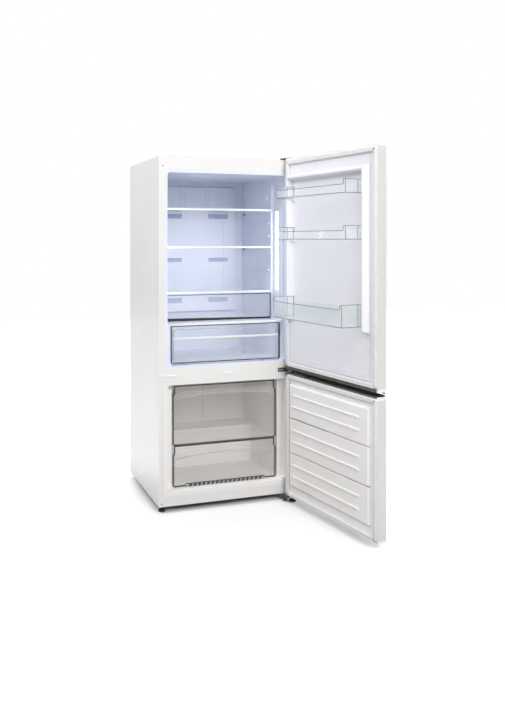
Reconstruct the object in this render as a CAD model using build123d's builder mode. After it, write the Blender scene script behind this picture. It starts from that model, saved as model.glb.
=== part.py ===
from build123d import *
import os
from math import atan, degrees

os.makedirs("parts", exist_ok=True)

# Bottom freezer refrigerator: a fridge compartment above a freezer with two drawers, each behind its
# own right-hinged door.  Millimetres; X to the right of someone facing it, Y to the back, Z up.
# While the pieces are made, x = 0 is the middle of the cabinet, y = 0 its front flange and z = 0 the
# floor, and the doors are shut.  At the end the doors swing open about their pins, and the whole is
# set with the bottom centre of its bounding box at the origin.

# ---------------------------------------------------------------- driving dimensions
# cabinet shell
cabinet_width = 700.0
cabinet_top = 1700.0
cabinet_depth = 600.0
base_level = 30.0
sheet = 0.8
flange_width = 26.5
sheet_bend = 3.0
rail_wall = 1.5
pan_wall = 1.5

# compartments, as the air inside the liners
liner_wall = 2.0
top_foam = 78.0
back_foam = 60.0
machine_depth = 200.0
machine_foam = 40.0
opening_width = 614.0
opening_radius = 14.0
entry_depth = 20.0
bay_width = 604.0
bay_depth = 134.0
chamber_width = 574.0
fridge_floor = 697.0
fridge_ceiling = cabinet_top - top_foam
fridge_depth = cabinet_depth - back_foam
freezer_floor = 105.0
freezer_ceiling = 606.0
freezer_entry = 38.0
freezer_width = 552.0
freezer_depth = fridge_depth
freezer_lip = 97.0
machine_front = cabinet_depth - machine_depth
machine_top = 255.0
hump_front = machine_front - machine_foam
hump_top = 296.0

# edges where liner flanges meet the painted front pieces
fascia_height = 57.0
fascia_bottom = cabinet_top - fascia_height
middle_rail_top = 688.0
middle_rail_bottom = 610.0
bottom_rail_top = 78.0

# blanking caps over the unused hinge holes: x, z, width, height and how far each stands proud
cap_sizes = ((-293.5, 650.0, 55.0, 8.0, 4.0), (0.0, 650.0, 52.0, 14.0, 2.5))
plug_x = -336.0
plug_z = 656.0
plug_rise = 1.5

# shelves, each named by the height of its glass's underside
cover_top = 895.0
upper_shelf_room = 170.0
middle_shelf_room = 191.0
chiller_room = 138.0
upper_shelf = fridge_ceiling - upper_shelf_room
middle_shelf = upper_shelf - middle_shelf_room
lower_shelf = cover_top + chiller_room
shelf_levels = {"upper": upper_shelf, "middle": middle_shelf, "lower": lower_shelf}
spare_levels = (upper_shelf - 64.0, upper_shelf - 127.0, middle_shelf - 114.0)
glass = 4.0
shelf_clearance = 35.0
shelf_back = fridge_depth - shelf_clearance
shelf_gap = 1.5
trim_depth = 15.0
trim_height = 10.0
trim_drop = 4.0
rib_width = 10.0
rib_height = 8.0
rib_start = 150.0
rib_end = shelf_back - trim_depth

# drawers
slide_gap = 0.3
tub_wall = 2.5
cover_thickness = 6.0
cover_lip = 9.0
crisper_face = 18.0
crisper_front_depth = 12.0
crisper_bottom = 704.0
crisper_width = 568.0
crisper_tub_width = 540.0
crisper_tub_height = 164.0
crisper_tub_back = shelf_back - 35.0
chiller_width = 570.0
chiller_height = 131.0
chiller_tub_width = 544.0
chiller_tub_height = 119.0
chiller_tub_back = shelf_back - 25.0
front_wall = 3.0
frame_width = 9.0
bar_drop = 58.0
bar_height = 9.0
freezer_face = 35.0
freezer_front_depth = 14.0
freezer_front_width = 538.0
upper_front_bottom = 306.0
upper_front_top = 593.0
lower_front_top = 303.0
notch_drop = 48.0
notch_depth = 7.0
notch_slope = 14.0
front_corner = 6.0
upper_tub_width = 536.0
upper_tub_height = 255.0
evaporator_room = 60.0
back_panel_face = freezer_depth - evaporator_room
tub_back_gap = 15.0
upper_tub_back = back_panel_face - tub_back_gap
lower_tub_width = 516.0
lower_tub_height = 183.0
lower_tub_back = hump_front - tub_back_gap
drawer_rail_top = 304.0
drawer_rail_width = 14.0
drawer_rail_start = 55.0
runner_width = 20.0
runner_reach = 200.0
grip_width = 410.0
grip_depth = 8.0
grip_height = 14.0

# rear air duct, lights and freezer back
duct_width = 478.0
duct_bottom = 905.0
duct_top = fridge_ceiling - 32.0
duct_depth = 16.0
duct_wall = 2.5
vent_width = 114.0
vent_offset = 135.0
vent_rows = ((upper_shelf + 10.0, 20.0), (upper_shelf - 22.0, 26.0), (middle_shelf - 73.0, 21.0),
             (cover_top + 70.0, 26.0))
led_near = 58.0
led_far = 125.0
led_bottom = cover_top + 90.0
led_top = upper_shelf - 4.0
led_wall = 1.5
back_panel_wall = 3.0
slot_pitch = 20.0
slot_count = 9
slot_length = 40.0
slot_width = 8.0

# cooling system
coil_tube = 4.0
coil_bend = 15.0
evaporator_half = 220.0
evaporator_rows = 6
evaporator_bottom = 315.0
evaporator_y = freezer_depth - 25.0
standoff_reach = 147.0
condenser_left = -290.0
condenser_right = -30.0
condenser_rows = 6
condenser_bottom = 60.0
condenser_y = machine_front + 50.0
post_width = 10.0
fan_radius = 42.0
fan_hub = 15.0
fan_y = freezer_depth - 36.0
fan_z = 552.0
fan_thickness = 14.0
blade_count = 7
blade_wall = 2.0
blade_root = 2.0
blade_pitch = 35.0
motor_gap = 1.0
motor_radius = 25.0
motor_shaft = 2.5
shaft_gap = 0.05
compressor_x = 130.0
compressor_y = cabinet_depth - 100.0
compressor_radius = 78.0
compressor_height = 165.0
compressor_shell = 3.2
compressor_foot = 8.0
compressor_shoulder = 32.0
mount_half = 55.0
mount_spread = 66.0
mount_foot = 8.0
tray_wall = 2.0
tray_length = 230.0
tray_width = 150.0
tray_height = 26.0
control_x = 275.0
control_size = (110.0, 90.0, 150.0)
inlet_size = (50.0, 12.0, 30.0)
inlet_level = 110.0

# doors
door_gap = 12.0
door_depth = 48.0
door_radius = 5.0
fridge_door_bottom = 660.0
fridge_door_top = cabinet_top + 4.0
freezer_door_bottom = 31.0
freezer_door_top = 641.0
cap_height = 12.0
grip_cap_height = 16.0
grip_channel_near = 18.0
grip_channel_far = 40.0
grip_channel_depth = 10.0
grip_channel_left = 340.0
grip_channel_right = 200.0
grip_lip_right = 280.0
grip_lip_wall = 5.0
grip_lip_drop = 9.0
hinge_inset = 21.9
hinge_setback = 27.95
door_open_angle = 98.4
dike_base = 306.0
dike_crest = 292.0
dike_pocket_base = 272.0
dike_pocket_crest = 284.0
dike_height = 35.0
dike_low = cover_top + 5.0
dike_high = fridge_ceiling - 2.0
panel_half = 300.0
panel_low = 700.0
panel_rise = 4.0
freezer_panel_half = 304.0
freezer_panel_low = 90.0
freezer_panel_high = 592.0
freezer_panel_rise = 11.5
freezer_panel_slope = 8.0
section_count = 3
groove = 7.0
rib_bar = 9.0
rib_bar_rise = 4.0
rib_bar_left = 238.0
rib_bar_right = 271.0
rib_pitch = 56.0
gasket_width = 19.0
gasket_free_edge = 348.0
gasket_hinge_edge = 327.0
gasket_end_inset = 5.0
gasket_top_inset = 9.0
gasket_gap = 0.3

# door bins, each named by the height of its floor
top_bin_floor = fridge_ceiling - 124.0
bin_sizes = {"top": (top_bin_floor, 96.0, 39.0, 60.0),
             "middle": (top_bin_floor - 197.0, 96.0, 39.0, 60.0),
             "bottom": (dike_low + 29.0, 115.0, 77.0, 97.0)}
bin_half = 271.0
bin_wall = 2.5
bin_radius = 14.0
bin_back = -7.7
lug_width = 12.0
lug_depth = 18.0
lug_height = 8.0

# hinges, feet and rollers
pin_radius = 5.0
pin_gap = 0.05
plate = 3.0
hinge_left = 245.0
hinge_right = 345.0
hinge_near = 8.0
hinge_far = 48.0
hinge_lift = 4.7
hinge_nose = 16.0
pin_reach = 11.0
cover_left = 238.0
cover_right = 280.0
cover_near = 4.0
cover_far = 52.0
cover_height = 11.0
cover_wall = 2.0
middle_plate_left = 266.0
middle_plate_right = 321.0
middle_plate_low = 640.0
middle_plate_high = 660.0
middle_plate = 2.5
middle_arm_left = 299.0
arm_wall = 4.0
collar_radius = 9.0
bottom_plate = 5.0
bottom_plate_left = 270.0
bottom_nose_left = 279.0
bottom_plate_far = 60.0
skirt_right = 298.0
skirt_front = -38.0
skirt_back = -32.0
skirt_low = 6.0
screw_head = 4.5
screw_head_height = 2.5
screw_shank = 2.4
screw_length = 12.0
screw_hole = 2.5
foot_radius = 15.5
foot_height = 12.0
foot_bevel = 2.0
stem_radius = 4.0
stem_reach = 3.2
nut_radius = 8.0
nut_height = 6.0
left_foot_x = -327.5
left_foot_y = 30.0
bracket_length = 90.0
bracket_width = 35.0
bracket_gap = 0.5
roller_radius = 14.0
roller_width = 20.0
roller_x = 300.0
roller_y = cabinet_depth - 40.0
axle_radius = 3.0
ear_wall = 2.0
ear_gap = 1.0

# ---------------------------------------------------------------- shared places
half_width = cabinet_width / 2
flange_edge = half_width - flange_width
inside_half = half_width - sheet
inside_back = cabinet_depth - sheet
chamber_half = chamber_width / 2
freezer_half = freezer_width / 2
shelf_half = chamber_half - shelf_gap
pan_top = base_level + pan_wall
door_inner = -door_gap
door_outer = -door_gap - door_depth
hinge_x = half_width - hinge_inset
hinge_y = -door_gap - hinge_setback
coil_pitch = 2 * coil_bend
bracket_bottom = base_level - bottom_plate - bracket_gap
middle_level = (middle_plate_low + middle_plate_high) / 2
screw_inset = 16.0
top_screw_points = [
    (hinge_left + screw_inset, hinge_near + 2 * screw_head),
    (hinge_left + screw_inset, hinge_far - 2 * screw_head),
    (hinge_right - screw_inset, hinge_far - 2 * screw_head),
]
middle_screw_points = [
    (middle_plate_left + 2 * screw_head, middle_level),
    (middle_arm_left - 2 * screw_head, middle_level),
]
bottom_screw_points = [
    (bottom_plate_left + screw_inset, screw_inset),
    (bottom_plate_left + screw_inset, bottom_plate_far - screw_inset),
    (hinge_right - screw_inset, bottom_plate_far - screw_inset),
]

fixed_pieces = []
door_pieces = []


def block(x_span, y_span, z_span, mode=Mode.ADD):
    """Straight-sided block between pairs of faces, added to the piece being built."""
    spans = (x_span, y_span, z_span)
    with Locations(tuple((low + high) / 2 for low, high in spans)):
        Box(*(high - low for low, high in spans), mode=mode)


def facing(y):
    """Upright plane at depth y that faces the room: local x is X, local y is Z."""
    return Plane.XZ.offset(-y)


def facing_back(y):
    """Upright plane at depth y that faces the back: local x is -X, local y is Z."""
    return Plane((0, y, 0), x_dir=(-1, 0, 0), z_dir=(0, 1, 0))


def keep(piece, label, pieces=fixed_pieces):
    """Label a finished piece and put it with the cabinet's or the doors' pieces."""
    piece.part.label = label
    pieces.append(piece.part)


# ---------------------------------------------------------------- air spaces of the two compartments
# each row: width, nearest and farthest depth, lowest and highest level
fridge_spaces = (
    (opening_width, 0, entry_depth, fridge_floor, fridge_ceiling),
    (bay_width, entry_depth, bay_depth, cover_top, fridge_ceiling),
    (chamber_width, entry_depth, fridge_depth, fridge_floor, fridge_ceiling),
)
freezer_spaces = (
    (opening_width, 0, freezer_entry, freezer_floor, freezer_ceiling),
    (freezer_width, freezer_entry, hump_front, freezer_floor, freezer_ceiling),
    (freezer_width, freezer_entry, freezer_depth, hump_top, freezer_ceiling),
)


def compartment(spaces, wall):
    """The stepped air space of a compartment, grown by a wall on every side but the front."""
    with BuildPart() as space:
        for width, near, far, low, high in spaces:
            with BuildSketch(facing(near)):
                with Locations((0, (low + high) / 2)):
                    RectangleRounded(width + 2 * wall, high - low + 2 * wall, opening_radius + wall)
            extrude(amount=-(far - near + wall))
    return space.part


fridge_envelope = compartment(fridge_spaces, liner_wall)
fridge_air = compartment(fridge_spaces, 0)
freezer_envelope = compartment(freezer_spaces, liner_wall)
freezer_air = compartment(freezer_spaces, 0)

# ---------------------------------------------------------------- painted cabinet shell
for side, hand in (("left", -1), ("right", 1)):
    with BuildPart() as side_panel:
        with BuildSketch(Plane.XY.offset(base_level)) as fold:
            with BuildLine():
                Polyline(
                    (hand * flange_edge, 0),
                    (hand * half_width, 0),
                    (hand * half_width, cabinet_depth),
                    (hand * inside_half, cabinet_depth),
                    (hand * inside_half, sheet),
                    (hand * flange_edge, sheet),
                    close=True,
                )
            make_face()
            fillet(fold.vertices().sort_by_distance((hand * half_width, 0))[0], sheet_bend)
            fillet(fold.vertices().sort_by_distance((hand * inside_half, sheet))[0], sheet_bend - sheet)
        extrude(amount=cabinet_top - base_level)
    keep(side_panel, f"{side}_side_panel")

with BuildPart() as top_panel:
    block((-flange_edge, flange_edge), (0, sheet), (fascia_bottom, cabinet_top))
    block((-flange_edge, flange_edge), (0, cabinet_depth - sheet), (cabinet_top - sheet, cabinet_top))
    block((-inside_half, inside_half), (sheet_bend, cabinet_depth - sheet),
          (cabinet_top - sheet, cabinet_top))
    for x, y in top_screw_points:
        with Locations((x, y, cabinet_top)):
            Cylinder(screw_hole, 2 * plate, mode=Mode.SUBTRACT)
keep(top_panel, "top_panel")

with BuildPart() as back_panel:
    block((-inside_half, inside_half), (inside_back, cabinet_depth), (machine_top, cabinet_top))
keep(back_panel, "back_panel")

with BuildPart() as middle_rail:
    block((-flange_edge, flange_edge), (0, rail_wall), (middle_rail_bottom, middle_rail_top))
    for x, z in middle_screw_points:
        with BuildSketch(facing(0)):
            with Locations((x, z)):
                Circle(screw_hole)
        extrude(amount=-screw_length, mode=Mode.SUBTRACT)
keep(middle_rail, "middle_rail")

with BuildPart() as bottom_rail:
    block((-flange_edge, flange_edge), (0, rail_wall), (base_level, bottom_rail_top))
keep(bottom_rail, "bottom_rail")

with BuildPart() as blanking_caps:
    for x, z, width, height, rise in cap_sizes:
        with BuildSketch(facing(0)):
            with Locations((x, z)):
                RectangleRounded(width, height, height / 3)
        extrude(amount=rise)
    with BuildSketch(facing(0)):
        with Locations((plug_x, plug_z)):
            Circle(screw_head)
    extrude(amount=plug_rise)
keep(blanking_caps, "blanking_caps")

# ---------------------------------------------------------------- base pan, with its walls, ears and bracket
post_face = condenser_y + coil_tube + slide_gap
condenser_top = condenser_bottom + (condenser_rows - 1) * coil_pitch

with BuildPart() as base_pan:
    block((-inside_half, inside_half), (sheet_bend, inside_back), (base_level, pan_top))
    block((-inside_half, inside_half), (machine_front, machine_front + pan_wall), (base_level, machine_top))
    block((-inside_half, inside_half), (machine_front, inside_back), (machine_top - pan_wall, machine_top))
    block((left_foot_x - bracket_width / 2, left_foot_x + bracket_width / 2),
          (bottom_plate, bottom_plate + bracket_length), (bracket_bottom, base_level))
    with Locations((left_foot_x, left_foot_y, base_level)):
        Cylinder(stem_radius + pin_gap, 4 * bottom_plate, mode=Mode.SUBTRACT)
    for x, y in bottom_screw_points:
        with Locations((x, y, base_level)):
            Cylinder(screw_hole, 4 * pan_wall, mode=Mode.SUBTRACT)
    for hand in (-1, 1):
        for edge in (-1, 1):
            ear_inner = hand * roller_x + edge * (roller_width / 2 + ear_gap)
            ear_outer = ear_inner + edge * ear_wall
            block((min(ear_inner, ear_outer), max(ear_inner, ear_outer)),
                  (roller_y - roller_radius, roller_y + roller_radius),
                  (roller_radius - 2 * axle_radius, base_level))
        with Locations((hand * roller_x, roller_y, roller_radius)):
            Cylinder(axle_radius, roller_width + 2 * ear_gap + 2 * ear_wall, rotation=(0, 90, 0))
    for x in (condenser_left + 2 * coil_pitch, condenser_right - 2 * coil_pitch):
        block((x - post_width / 2, x + post_width / 2), (post_face, post_face + pan_wall * 2),
              (pan_top - pan_wall / 2, condenser_top + coil_bend))
keep(base_pan, "base_pan")

# ---------------------------------------------------------------- liners
with BuildPart() as fridge_liner:
    with BuildSketch(facing(0)):
        with Locations((0, (middle_rail_top + fascia_bottom) / 2)):
            Rectangle(2 * flange_edge, fascia_bottom - middle_rail_top)
    extrude(amount=-liner_wall)
    add(fridge_envelope)
    add(fridge_air, mode=Mode.SUBTRACT)
    for level in (*shelf_levels.values(), *spare_levels, cover_top - cover_thickness):
        for hand in (-1, 1):
            rib_span = sorted((hand * (chamber_half - rib_width), hand * (chamber_half + liner_wall / 2)))
            block(rib_span, (rib_start, rib_end), (level - rib_height, level))
    for hand in (-1, 1):
        runner_span = (hand * runner_reach - runner_width / 2, hand * runner_reach + runner_width / 2)
        block(runner_span, (2 * entry_depth, rib_end),
              (fridge_floor - liner_wall / 2, crisper_bottom - slide_gap))
keep(fridge_liner, "fridge_liner")

sill_half = opening_width / 2 - opening_radius

with BuildPart() as freezer_liner:
    with BuildSketch(facing(0)):
        with Locations((0, (bottom_rail_top + middle_rail_bottom) / 2)):
            Rectangle(2 * flange_edge, middle_rail_bottom - bottom_rail_top)
    extrude(amount=-liner_wall)
    add(freezer_envelope)
    with BuildSketch(Plane.YZ.offset(-sill_half)):
        with BuildLine():
            Polyline(
                (0, freezer_lip - liner_wall),
                (freezer_entry, freezer_floor - liner_wall),
                (freezer_entry, freezer_floor + liner_wall),
                (0, freezer_floor + liner_wall),
                close=True,
            )
        make_face()
    extrude(amount=2 * sill_half)
    add(freezer_air, mode=Mode.SUBTRACT)
    with BuildSketch(Plane.YZ.offset(-sill_half)):
        with BuildLine():
            Polyline(
                (0, freezer_lip),
                (freezer_entry - liner_wall, freezer_floor),
                (0, freezer_floor + liner_wall),
                close=True,
            )
        make_face()
    extrude(amount=2 * sill_half, mode=Mode.SUBTRACT)
    for hand in (-1, 1):
        rail_span = sorted((hand * (freezer_half - drawer_rail_width),
                            hand * (freezer_half + liner_wall / 2)))
        block(rail_span, (drawer_rail_start, hump_front), (hump_top, drawer_rail_top))
        standoff = (hand * standoff_reach - post_width / 2, hand * standoff_reach + post_width / 2)
        block(standoff, (evaporator_y + coil_tube + slide_gap, freezer_depth + liner_wall / 2),
              (evaporator_bottom - coil_bend, evaporator_bottom + (evaporator_rows - 1) * coil_pitch))
keep(freezer_liner, "freezer_liner")

# ---------------------------------------------------------------- foam between shell and liners
with BuildPart() as cabinet_insulation:
    block((-inside_half, inside_half), (liner_wall, inside_back), (pan_top, cabinet_top - sheet))
    block((-inside_half, inside_half), (machine_front, inside_back), (pan_top, machine_top), Mode.SUBTRACT)
    add(fridge_envelope, mode=Mode.SUBTRACT)
    add(freezer_envelope, mode=Mode.SUBTRACT)
    block((-sill_half, sill_half), (0, freezer_entry + liner_wall),
          (freezer_lip - 2 * liner_wall, freezer_floor), Mode.SUBTRACT)
    for x, y in top_screw_points:
        with Locations((x, y, cabinet_top)):
            Cylinder(screw_hole, 2 * screw_length + plate, mode=Mode.SUBTRACT)
    for x, z in middle_screw_points:
        with BuildSketch(facing(0)):
            with Locations((x, z)):
                Circle(screw_hole)
        extrude(amount=-screw_length - plate, mode=Mode.SUBTRACT)
    for hand in (-1, 1):
        block(sorted((hand * (inside_half - sheet_bend), hand * inside_half)), (0, sheet_bend),
              (pan_top, cabinet_top), Mode.SUBTRACT)
keep(cabinet_insulation, "cabinet_insulation")

# ---------------------------------------------------------------- fittings inside the fridge compartment
with BuildPart() as fridge_air_duct:
    duct_height = duct_top - duct_bottom
    duct_middle = (duct_top + duct_bottom) / 2
    with BuildSketch(facing(fridge_depth)):
        with Locations((0, duct_middle)):
            RectangleRounded(duct_width, duct_height, opening_radius)
    extrude(amount=duct_depth)
    with BuildSketch(facing(fridge_depth)):
        with Locations((0, duct_middle)):
            RectangleRounded(duct_width - 2 * duct_wall, duct_height - 2 * duct_wall,
                             opening_radius - duct_wall)
    extrude(amount=duct_depth - duct_wall, mode=Mode.SUBTRACT)
    with BuildSketch(facing(fridge_depth - duct_depth)):
        for level, height in vent_rows:
            with Locations((-vent_offset, level), (vent_offset, level)):
                Rectangle(vent_width, height)
    extrude(amount=-2 * duct_wall, mode=Mode.SUBTRACT)
keep(fridge_air_duct, "fridge_air_duct")

with BuildPart() as led_covers:
    for hand in (-1, 1):
        with BuildSketch(Plane.YZ.offset(hand * bay_width / 2)):
            with Locations(((led_near + led_far) / 2, (led_bottom + led_top) / 2)):
                RectangleRounded(led_far - led_near, led_top - led_bottom, (led_far - led_near) / 4)
        extrude(amount=-hand * led_wall)
keep(led_covers, "led_covers")

for place, level in shelf_levels.items():
    with BuildPart() as shelf_glass:
        block((-shelf_half, shelf_half), (bay_depth + front_wall, shelf_back - front_wall),
              (level, level + glass))
    keep(shelf_glass, f"{place}_shelf_glass")

    with BuildPart() as shelf_trim:
        trim_span = (level - trim_drop, level - trim_drop + trim_height)
        block((-shelf_half, shelf_half), (bay_depth, bay_depth + trim_depth), trim_span)
        block((rib_width - shelf_half, shelf_half - rib_width), (rib_end + trim_drop, shelf_back), trim_span)
        block((-shelf_half, shelf_half), (bay_depth + front_wall, shelf_back - front_wall),
              (level, level + glass), Mode.SUBTRACT)
    keep(shelf_trim, f"{place}_shelf_trim")

with BuildPart() as crisper_cover:
    block((-shelf_half, shelf_half), (crisper_face, shelf_back), (cover_top - cover_thickness, cover_top))
    block((-shelf_half, shelf_half), (crisper_face, crisper_face + cover_thickness),
          (cover_top - cover_lip, cover_top))
keep(crisper_cover, "crisper_cover")


# ---------------------------------------------------------------- drawers
def tub(half, near, far, low, high):
    """Open-topped drawer tub, added to the piece being built."""
    block((-half, half), (near, far), (low, high))
    block((-half + tub_wall, half - tub_wall), (near + tub_wall, far - tub_wall),
          (low + tub_wall, high + tub_wall), Mode.SUBTRACT)


def clear_front(outline, face, depth):
    """Clear drawer front: a pane with a deeper rim behind its edge, from its outline sketch."""
    with BuildSketch(facing(face)) as pane:
        add(outline)
    extrude(pane.sketch, amount=-depth)
    with BuildSketch(facing(face + front_wall)) as recess:
        add(outline)
        offset(amount=-frame_width, mode=Mode.REPLACE)
    extrude(recess.sketch, amount=-depth, mode=Mode.SUBTRACT)


chiller_bottom = cover_top + slide_gap
with BuildPart() as chiller_drawer:
    tub(chiller_tub_width / 2, bay_depth, chiller_tub_back, chiller_bottom,
        chiller_bottom + chiller_tub_height)
    block((-chiller_width / 2, chiller_width / 2), (bay_depth, bay_depth + tub_wall),
          (chiller_bottom, chiller_bottom + chiller_height))
keep(chiller_drawer, "chiller_drawer")

crisper_top = cover_top - cover_lip - slide_gap
with BuildSketch() as crisper_outline:
    with Locations((0, (crisper_bottom + crisper_top) / 2)):
        RectangleRounded(crisper_width, crisper_top - crisper_bottom, frame_width / 2)

with BuildPart() as crisper_front:
    clear_front(crisper_outline.sketch, crisper_face, crisper_front_depth)
    block((-crisper_width / 2 + frame_width, crisper_width / 2 - frame_width),
          (crisper_face + front_wall, crisper_face + crisper_front_depth),
          (crisper_top - bar_drop - bar_height, crisper_top - bar_drop))
keep(crisper_front, "crisper_front")

with BuildPart() as crisper_tub:
    tub(crisper_tub_width / 2, crisper_face + crisper_front_depth, crisper_tub_back,
        crisper_bottom, crisper_bottom + crisper_tub_height)
keep(crisper_tub, "crisper_tub")

lower_front_bottom = freezer_floor + 3 * slide_gap
freezer_drawers = {
    "upper": (upper_front_bottom, upper_front_top, upper_tub_width, drawer_rail_top + slide_gap,
              upper_tub_height, upper_tub_back),
    "lower": (lower_front_bottom, lower_front_top, lower_tub_width, freezer_floor + slide_gap,
              lower_tub_height, lower_tub_back),
}
for place, (low, high, width, tub_low, tub_height, tub_back) in freezer_drawers.items():
    half = freezer_front_width / 2
    with BuildSketch() as front_outline:
        with BuildLine():
            Polyline(
                (-half, low),
                (half, low),
                (half, high - notch_drop),
                (half - notch_depth, high - notch_drop + notch_slope),
                (half - notch_depth, high),
                (-half + notch_depth, high),
                (-half + notch_depth, high - notch_drop + notch_slope),
                (-half, high - notch_drop),
                close=True,
            )
        make_face()
        fillet(front_outline.vertices().group_by(Axis.Y)[0], front_corner)
    with BuildPart() as freezer_front:
        clear_front(front_outline.sketch, freezer_face, freezer_front_depth)
        if place == "lower":
            block((-grip_width / 2, grip_width / 2), (freezer_face - grip_depth, freezer_face),
                  (low, low + grip_height))
    keep(freezer_front, f"freezer_{place}_front")

    with BuildPart() as freezer_tub:
        tub(width / 2, freezer_face + freezer_front_depth, tub_back, tub_low, tub_low + tub_height)
    keep(freezer_tub, f"freezer_{place}_tub")

# ---------------------------------------------------------------- cooling behind the freezer's back panel
with BuildPart() as freezer_back_panel:
    with BuildSketch(facing(back_panel_face)):
        with Locations((0, (hump_top + freezer_ceiling) / 2)):
            RectangleRounded(freezer_width - slide_gap, freezer_ceiling - hump_top - slide_gap,
                             opening_radius)
        with Locations((0, fan_z)):
            with GridLocations(slot_pitch, 0, slot_count, 1):
                SlotOverall(slot_length, slot_width, rotation=90, mode=Mode.SUBTRACT)
    extrude(amount=-back_panel_wall)
keep(freezer_back_panel, "freezer_back_panel")


def coil(left, right, y, bottom, rows):
    """Serpentine tube in an upright plane, added to the piece being built."""
    points = []
    for row in range(rows):
        level = bottom + row * coil_pitch
        ends = (left, right) if row % 2 == 0 else (right, left)
        points += [(ends[0], y, level), (ends[1], y, level)]
    with BuildLine() as path:
        FilletPolyline(*points, radius=coil_bend - slide_gap)
    with BuildSketch(Plane(points[0], z_dir=(1, 0, 0))) as section:
        Circle(coil_tube)
    sweep(section.sketch, path=path.line)


with BuildPart() as evaporator:
    coil(-evaporator_half, evaporator_half, evaporator_y, evaporator_bottom, evaporator_rows)
keep(evaporator, "evaporator")

with BuildPart() as condenser:
    coil(condenser_left, condenser_right, condenser_y, condenser_bottom, condenser_rows)
keep(condenser, "condenser")

with BuildPart(Plane((0, fan_y, fan_z), z_dir=(0, -1, 0))) as evaporator_fan:
    Cylinder(fan_hub, fan_thickness)
    with PolarLocations((fan_radius + fan_hub) / 2 - blade_root / 2, blade_count):
        Box(fan_radius - fan_hub + blade_root, fan_thickness, blade_wall, rotation=(blade_pitch, 0, 0))
    Cylinder(motor_shaft + shaft_gap, fan_thickness, mode=Mode.SUBTRACT)
keep(evaporator_fan, "evaporator_fan")

with BuildPart() as fan_motor:
    motor_front = fan_y + fan_thickness / 2 + motor_gap
    with BuildSketch(facing(freezer_depth)):
        with Locations((0, fan_z)):
            Circle(motor_radius)
    extrude(amount=freezer_depth - motor_front)
    with BuildSketch(facing(motor_front)):
        with Locations((0, fan_z)):
            Circle(motor_shaft)
    extrude(amount=fan_thickness)
keep(fan_motor, "evaporator_fan_motor")

# ---------------------------------------------------------------- machine room
shell_low = pan_top + compressor_foot
shell_high = shell_low + compressor_height

with BuildPart() as compressor:
    for inset, mode in ((0, Mode.ADD), (compressor_shell, Mode.SUBTRACT)):
        with BuildSketch(facing(compressor_y)) as shell_section:
            with Locations((compressor_x, (shell_low + shell_high) / 2)):
                RectangleRounded(2 * (compressor_radius - inset), compressor_height - 2 * inset,
                                 compressor_shoulder - inset)
            with Locations((compressor_x - compressor_radius, (shell_low + shell_high) / 2)):
                Rectangle(2 * compressor_radius, 2 * compressor_height, mode=Mode.SUBTRACT)
        revolve(axis=Axis((compressor_x, compressor_y, 0), (0, 0, 1)), mode=mode)
    block((compressor_x - compressor_radius, compressor_x + compressor_radius),
          (compressor_y - mount_half, compressor_y + mount_half),
          (shell_low - compressor_shell, shell_low + compressor_shell / 2))
    for x in (-mount_spread, mount_spread):
        for y in (-mount_half + 2 * mount_foot, mount_half - 2 * mount_foot):
            with Locations((compressor_x + x, compressor_y + y, pan_top)):
                Cylinder(mount_foot, compressor_foot - compressor_shell / 2,
                         align=(Align.CENTER, Align.CENTER, Align.MIN))
keep(compressor, "compressor")

with BuildPart() as drip_tray:
    tray_low = shell_high + slide_gap
    block((compressor_x - tray_length / 2, compressor_x + tray_length / 2),
          (compressor_y - tray_width / 2, compressor_y + tray_width / 2), (tray_low, tray_low + tray_height))
    block((compressor_x - tray_length / 2 + tray_wall, compressor_x + tray_length / 2 - tray_wall),
          (compressor_y - tray_width / 2 + tray_wall, compressor_y + tray_width / 2 - tray_wall),
          (tray_low + tray_wall, tray_low + tray_height + tray_wall), Mode.SUBTRACT)
keep(drip_tray, "drip_tray")

inlet_width, inlet_depth, inlet_height = inlet_size
control_width, control_depth, control_height = control_size
inlet_face = cabinet_depth - inlet_depth

with BuildPart() as control_box:
    block((-control_x - control_width / 2, -control_x + control_width / 2),
          (inlet_face - control_depth, inlet_face), (pan_top, pan_top + control_height))
keep(control_box, "control_box")

with BuildPart() as mains_inlet:
    with BuildSketch(facing_back(inlet_face)):
        with Locations((control_x, pan_top + inlet_level)):
            RectangleRounded(inlet_width, inlet_height, tray_wall)
    extrude(amount=inlet_depth)
    with BuildSketch(facing_back(inlet_face + tray_wall)):
        with Locations((control_x, pan_top + inlet_level)):
            RectangleRounded(inlet_width - 4 * tray_wall, inlet_height - 4 * tray_wall, tray_wall)
    extrude(amount=inlet_depth, mode=Mode.SUBTRACT)
keep(mains_inlet, "mains_inlet")

# ---------------------------------------------------------------- feet and rollers
for side, x, y, seat in (("left", left_foot_x, left_foot_y, bracket_bottom),
                         ("right", hinge_x, hinge_y, base_level - bottom_plate)):
    stem_top = base_level if side == "left" else seat + stem_reach
    with BuildPart() as foot:
        with BuildSketch():
            with Locations((x, y)):
                Circle(foot_radius)
        extrude(amount=foot_height)
        chamfer(foot.edges().group_by(Axis.Z)[-1], foot_bevel)
        with BuildSketch(Plane.XY.offset(foot_height - foot_bevel)):
            with Locations((x, y)):
                Circle(stem_radius)
        extrude(amount=stem_top - foot_height + foot_bevel)
        with BuildSketch(Plane.XY.offset(seat - slide_gap - nut_height)):
            with Locations((x, y)):
                RegularPolygon(nut_radius, 6)
        extrude(amount=nut_height)
    keep(foot, f"{side}_foot")

for side, hand in (("left", -1), ("right", 1)):
    with BuildPart(Plane((hand * roller_x, roller_y, roller_radius), z_dir=(1, 0, 0))) as roller:
        Cylinder(roller_radius, roller_width)
        Cylinder(axle_radius + pin_gap, roller_width, mode=Mode.SUBTRACT)
    keep(roller, f"{side}_roller")

# ---------------------------------------------------------------- hinges
arm_low = cabinet_top + hinge_lift

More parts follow.
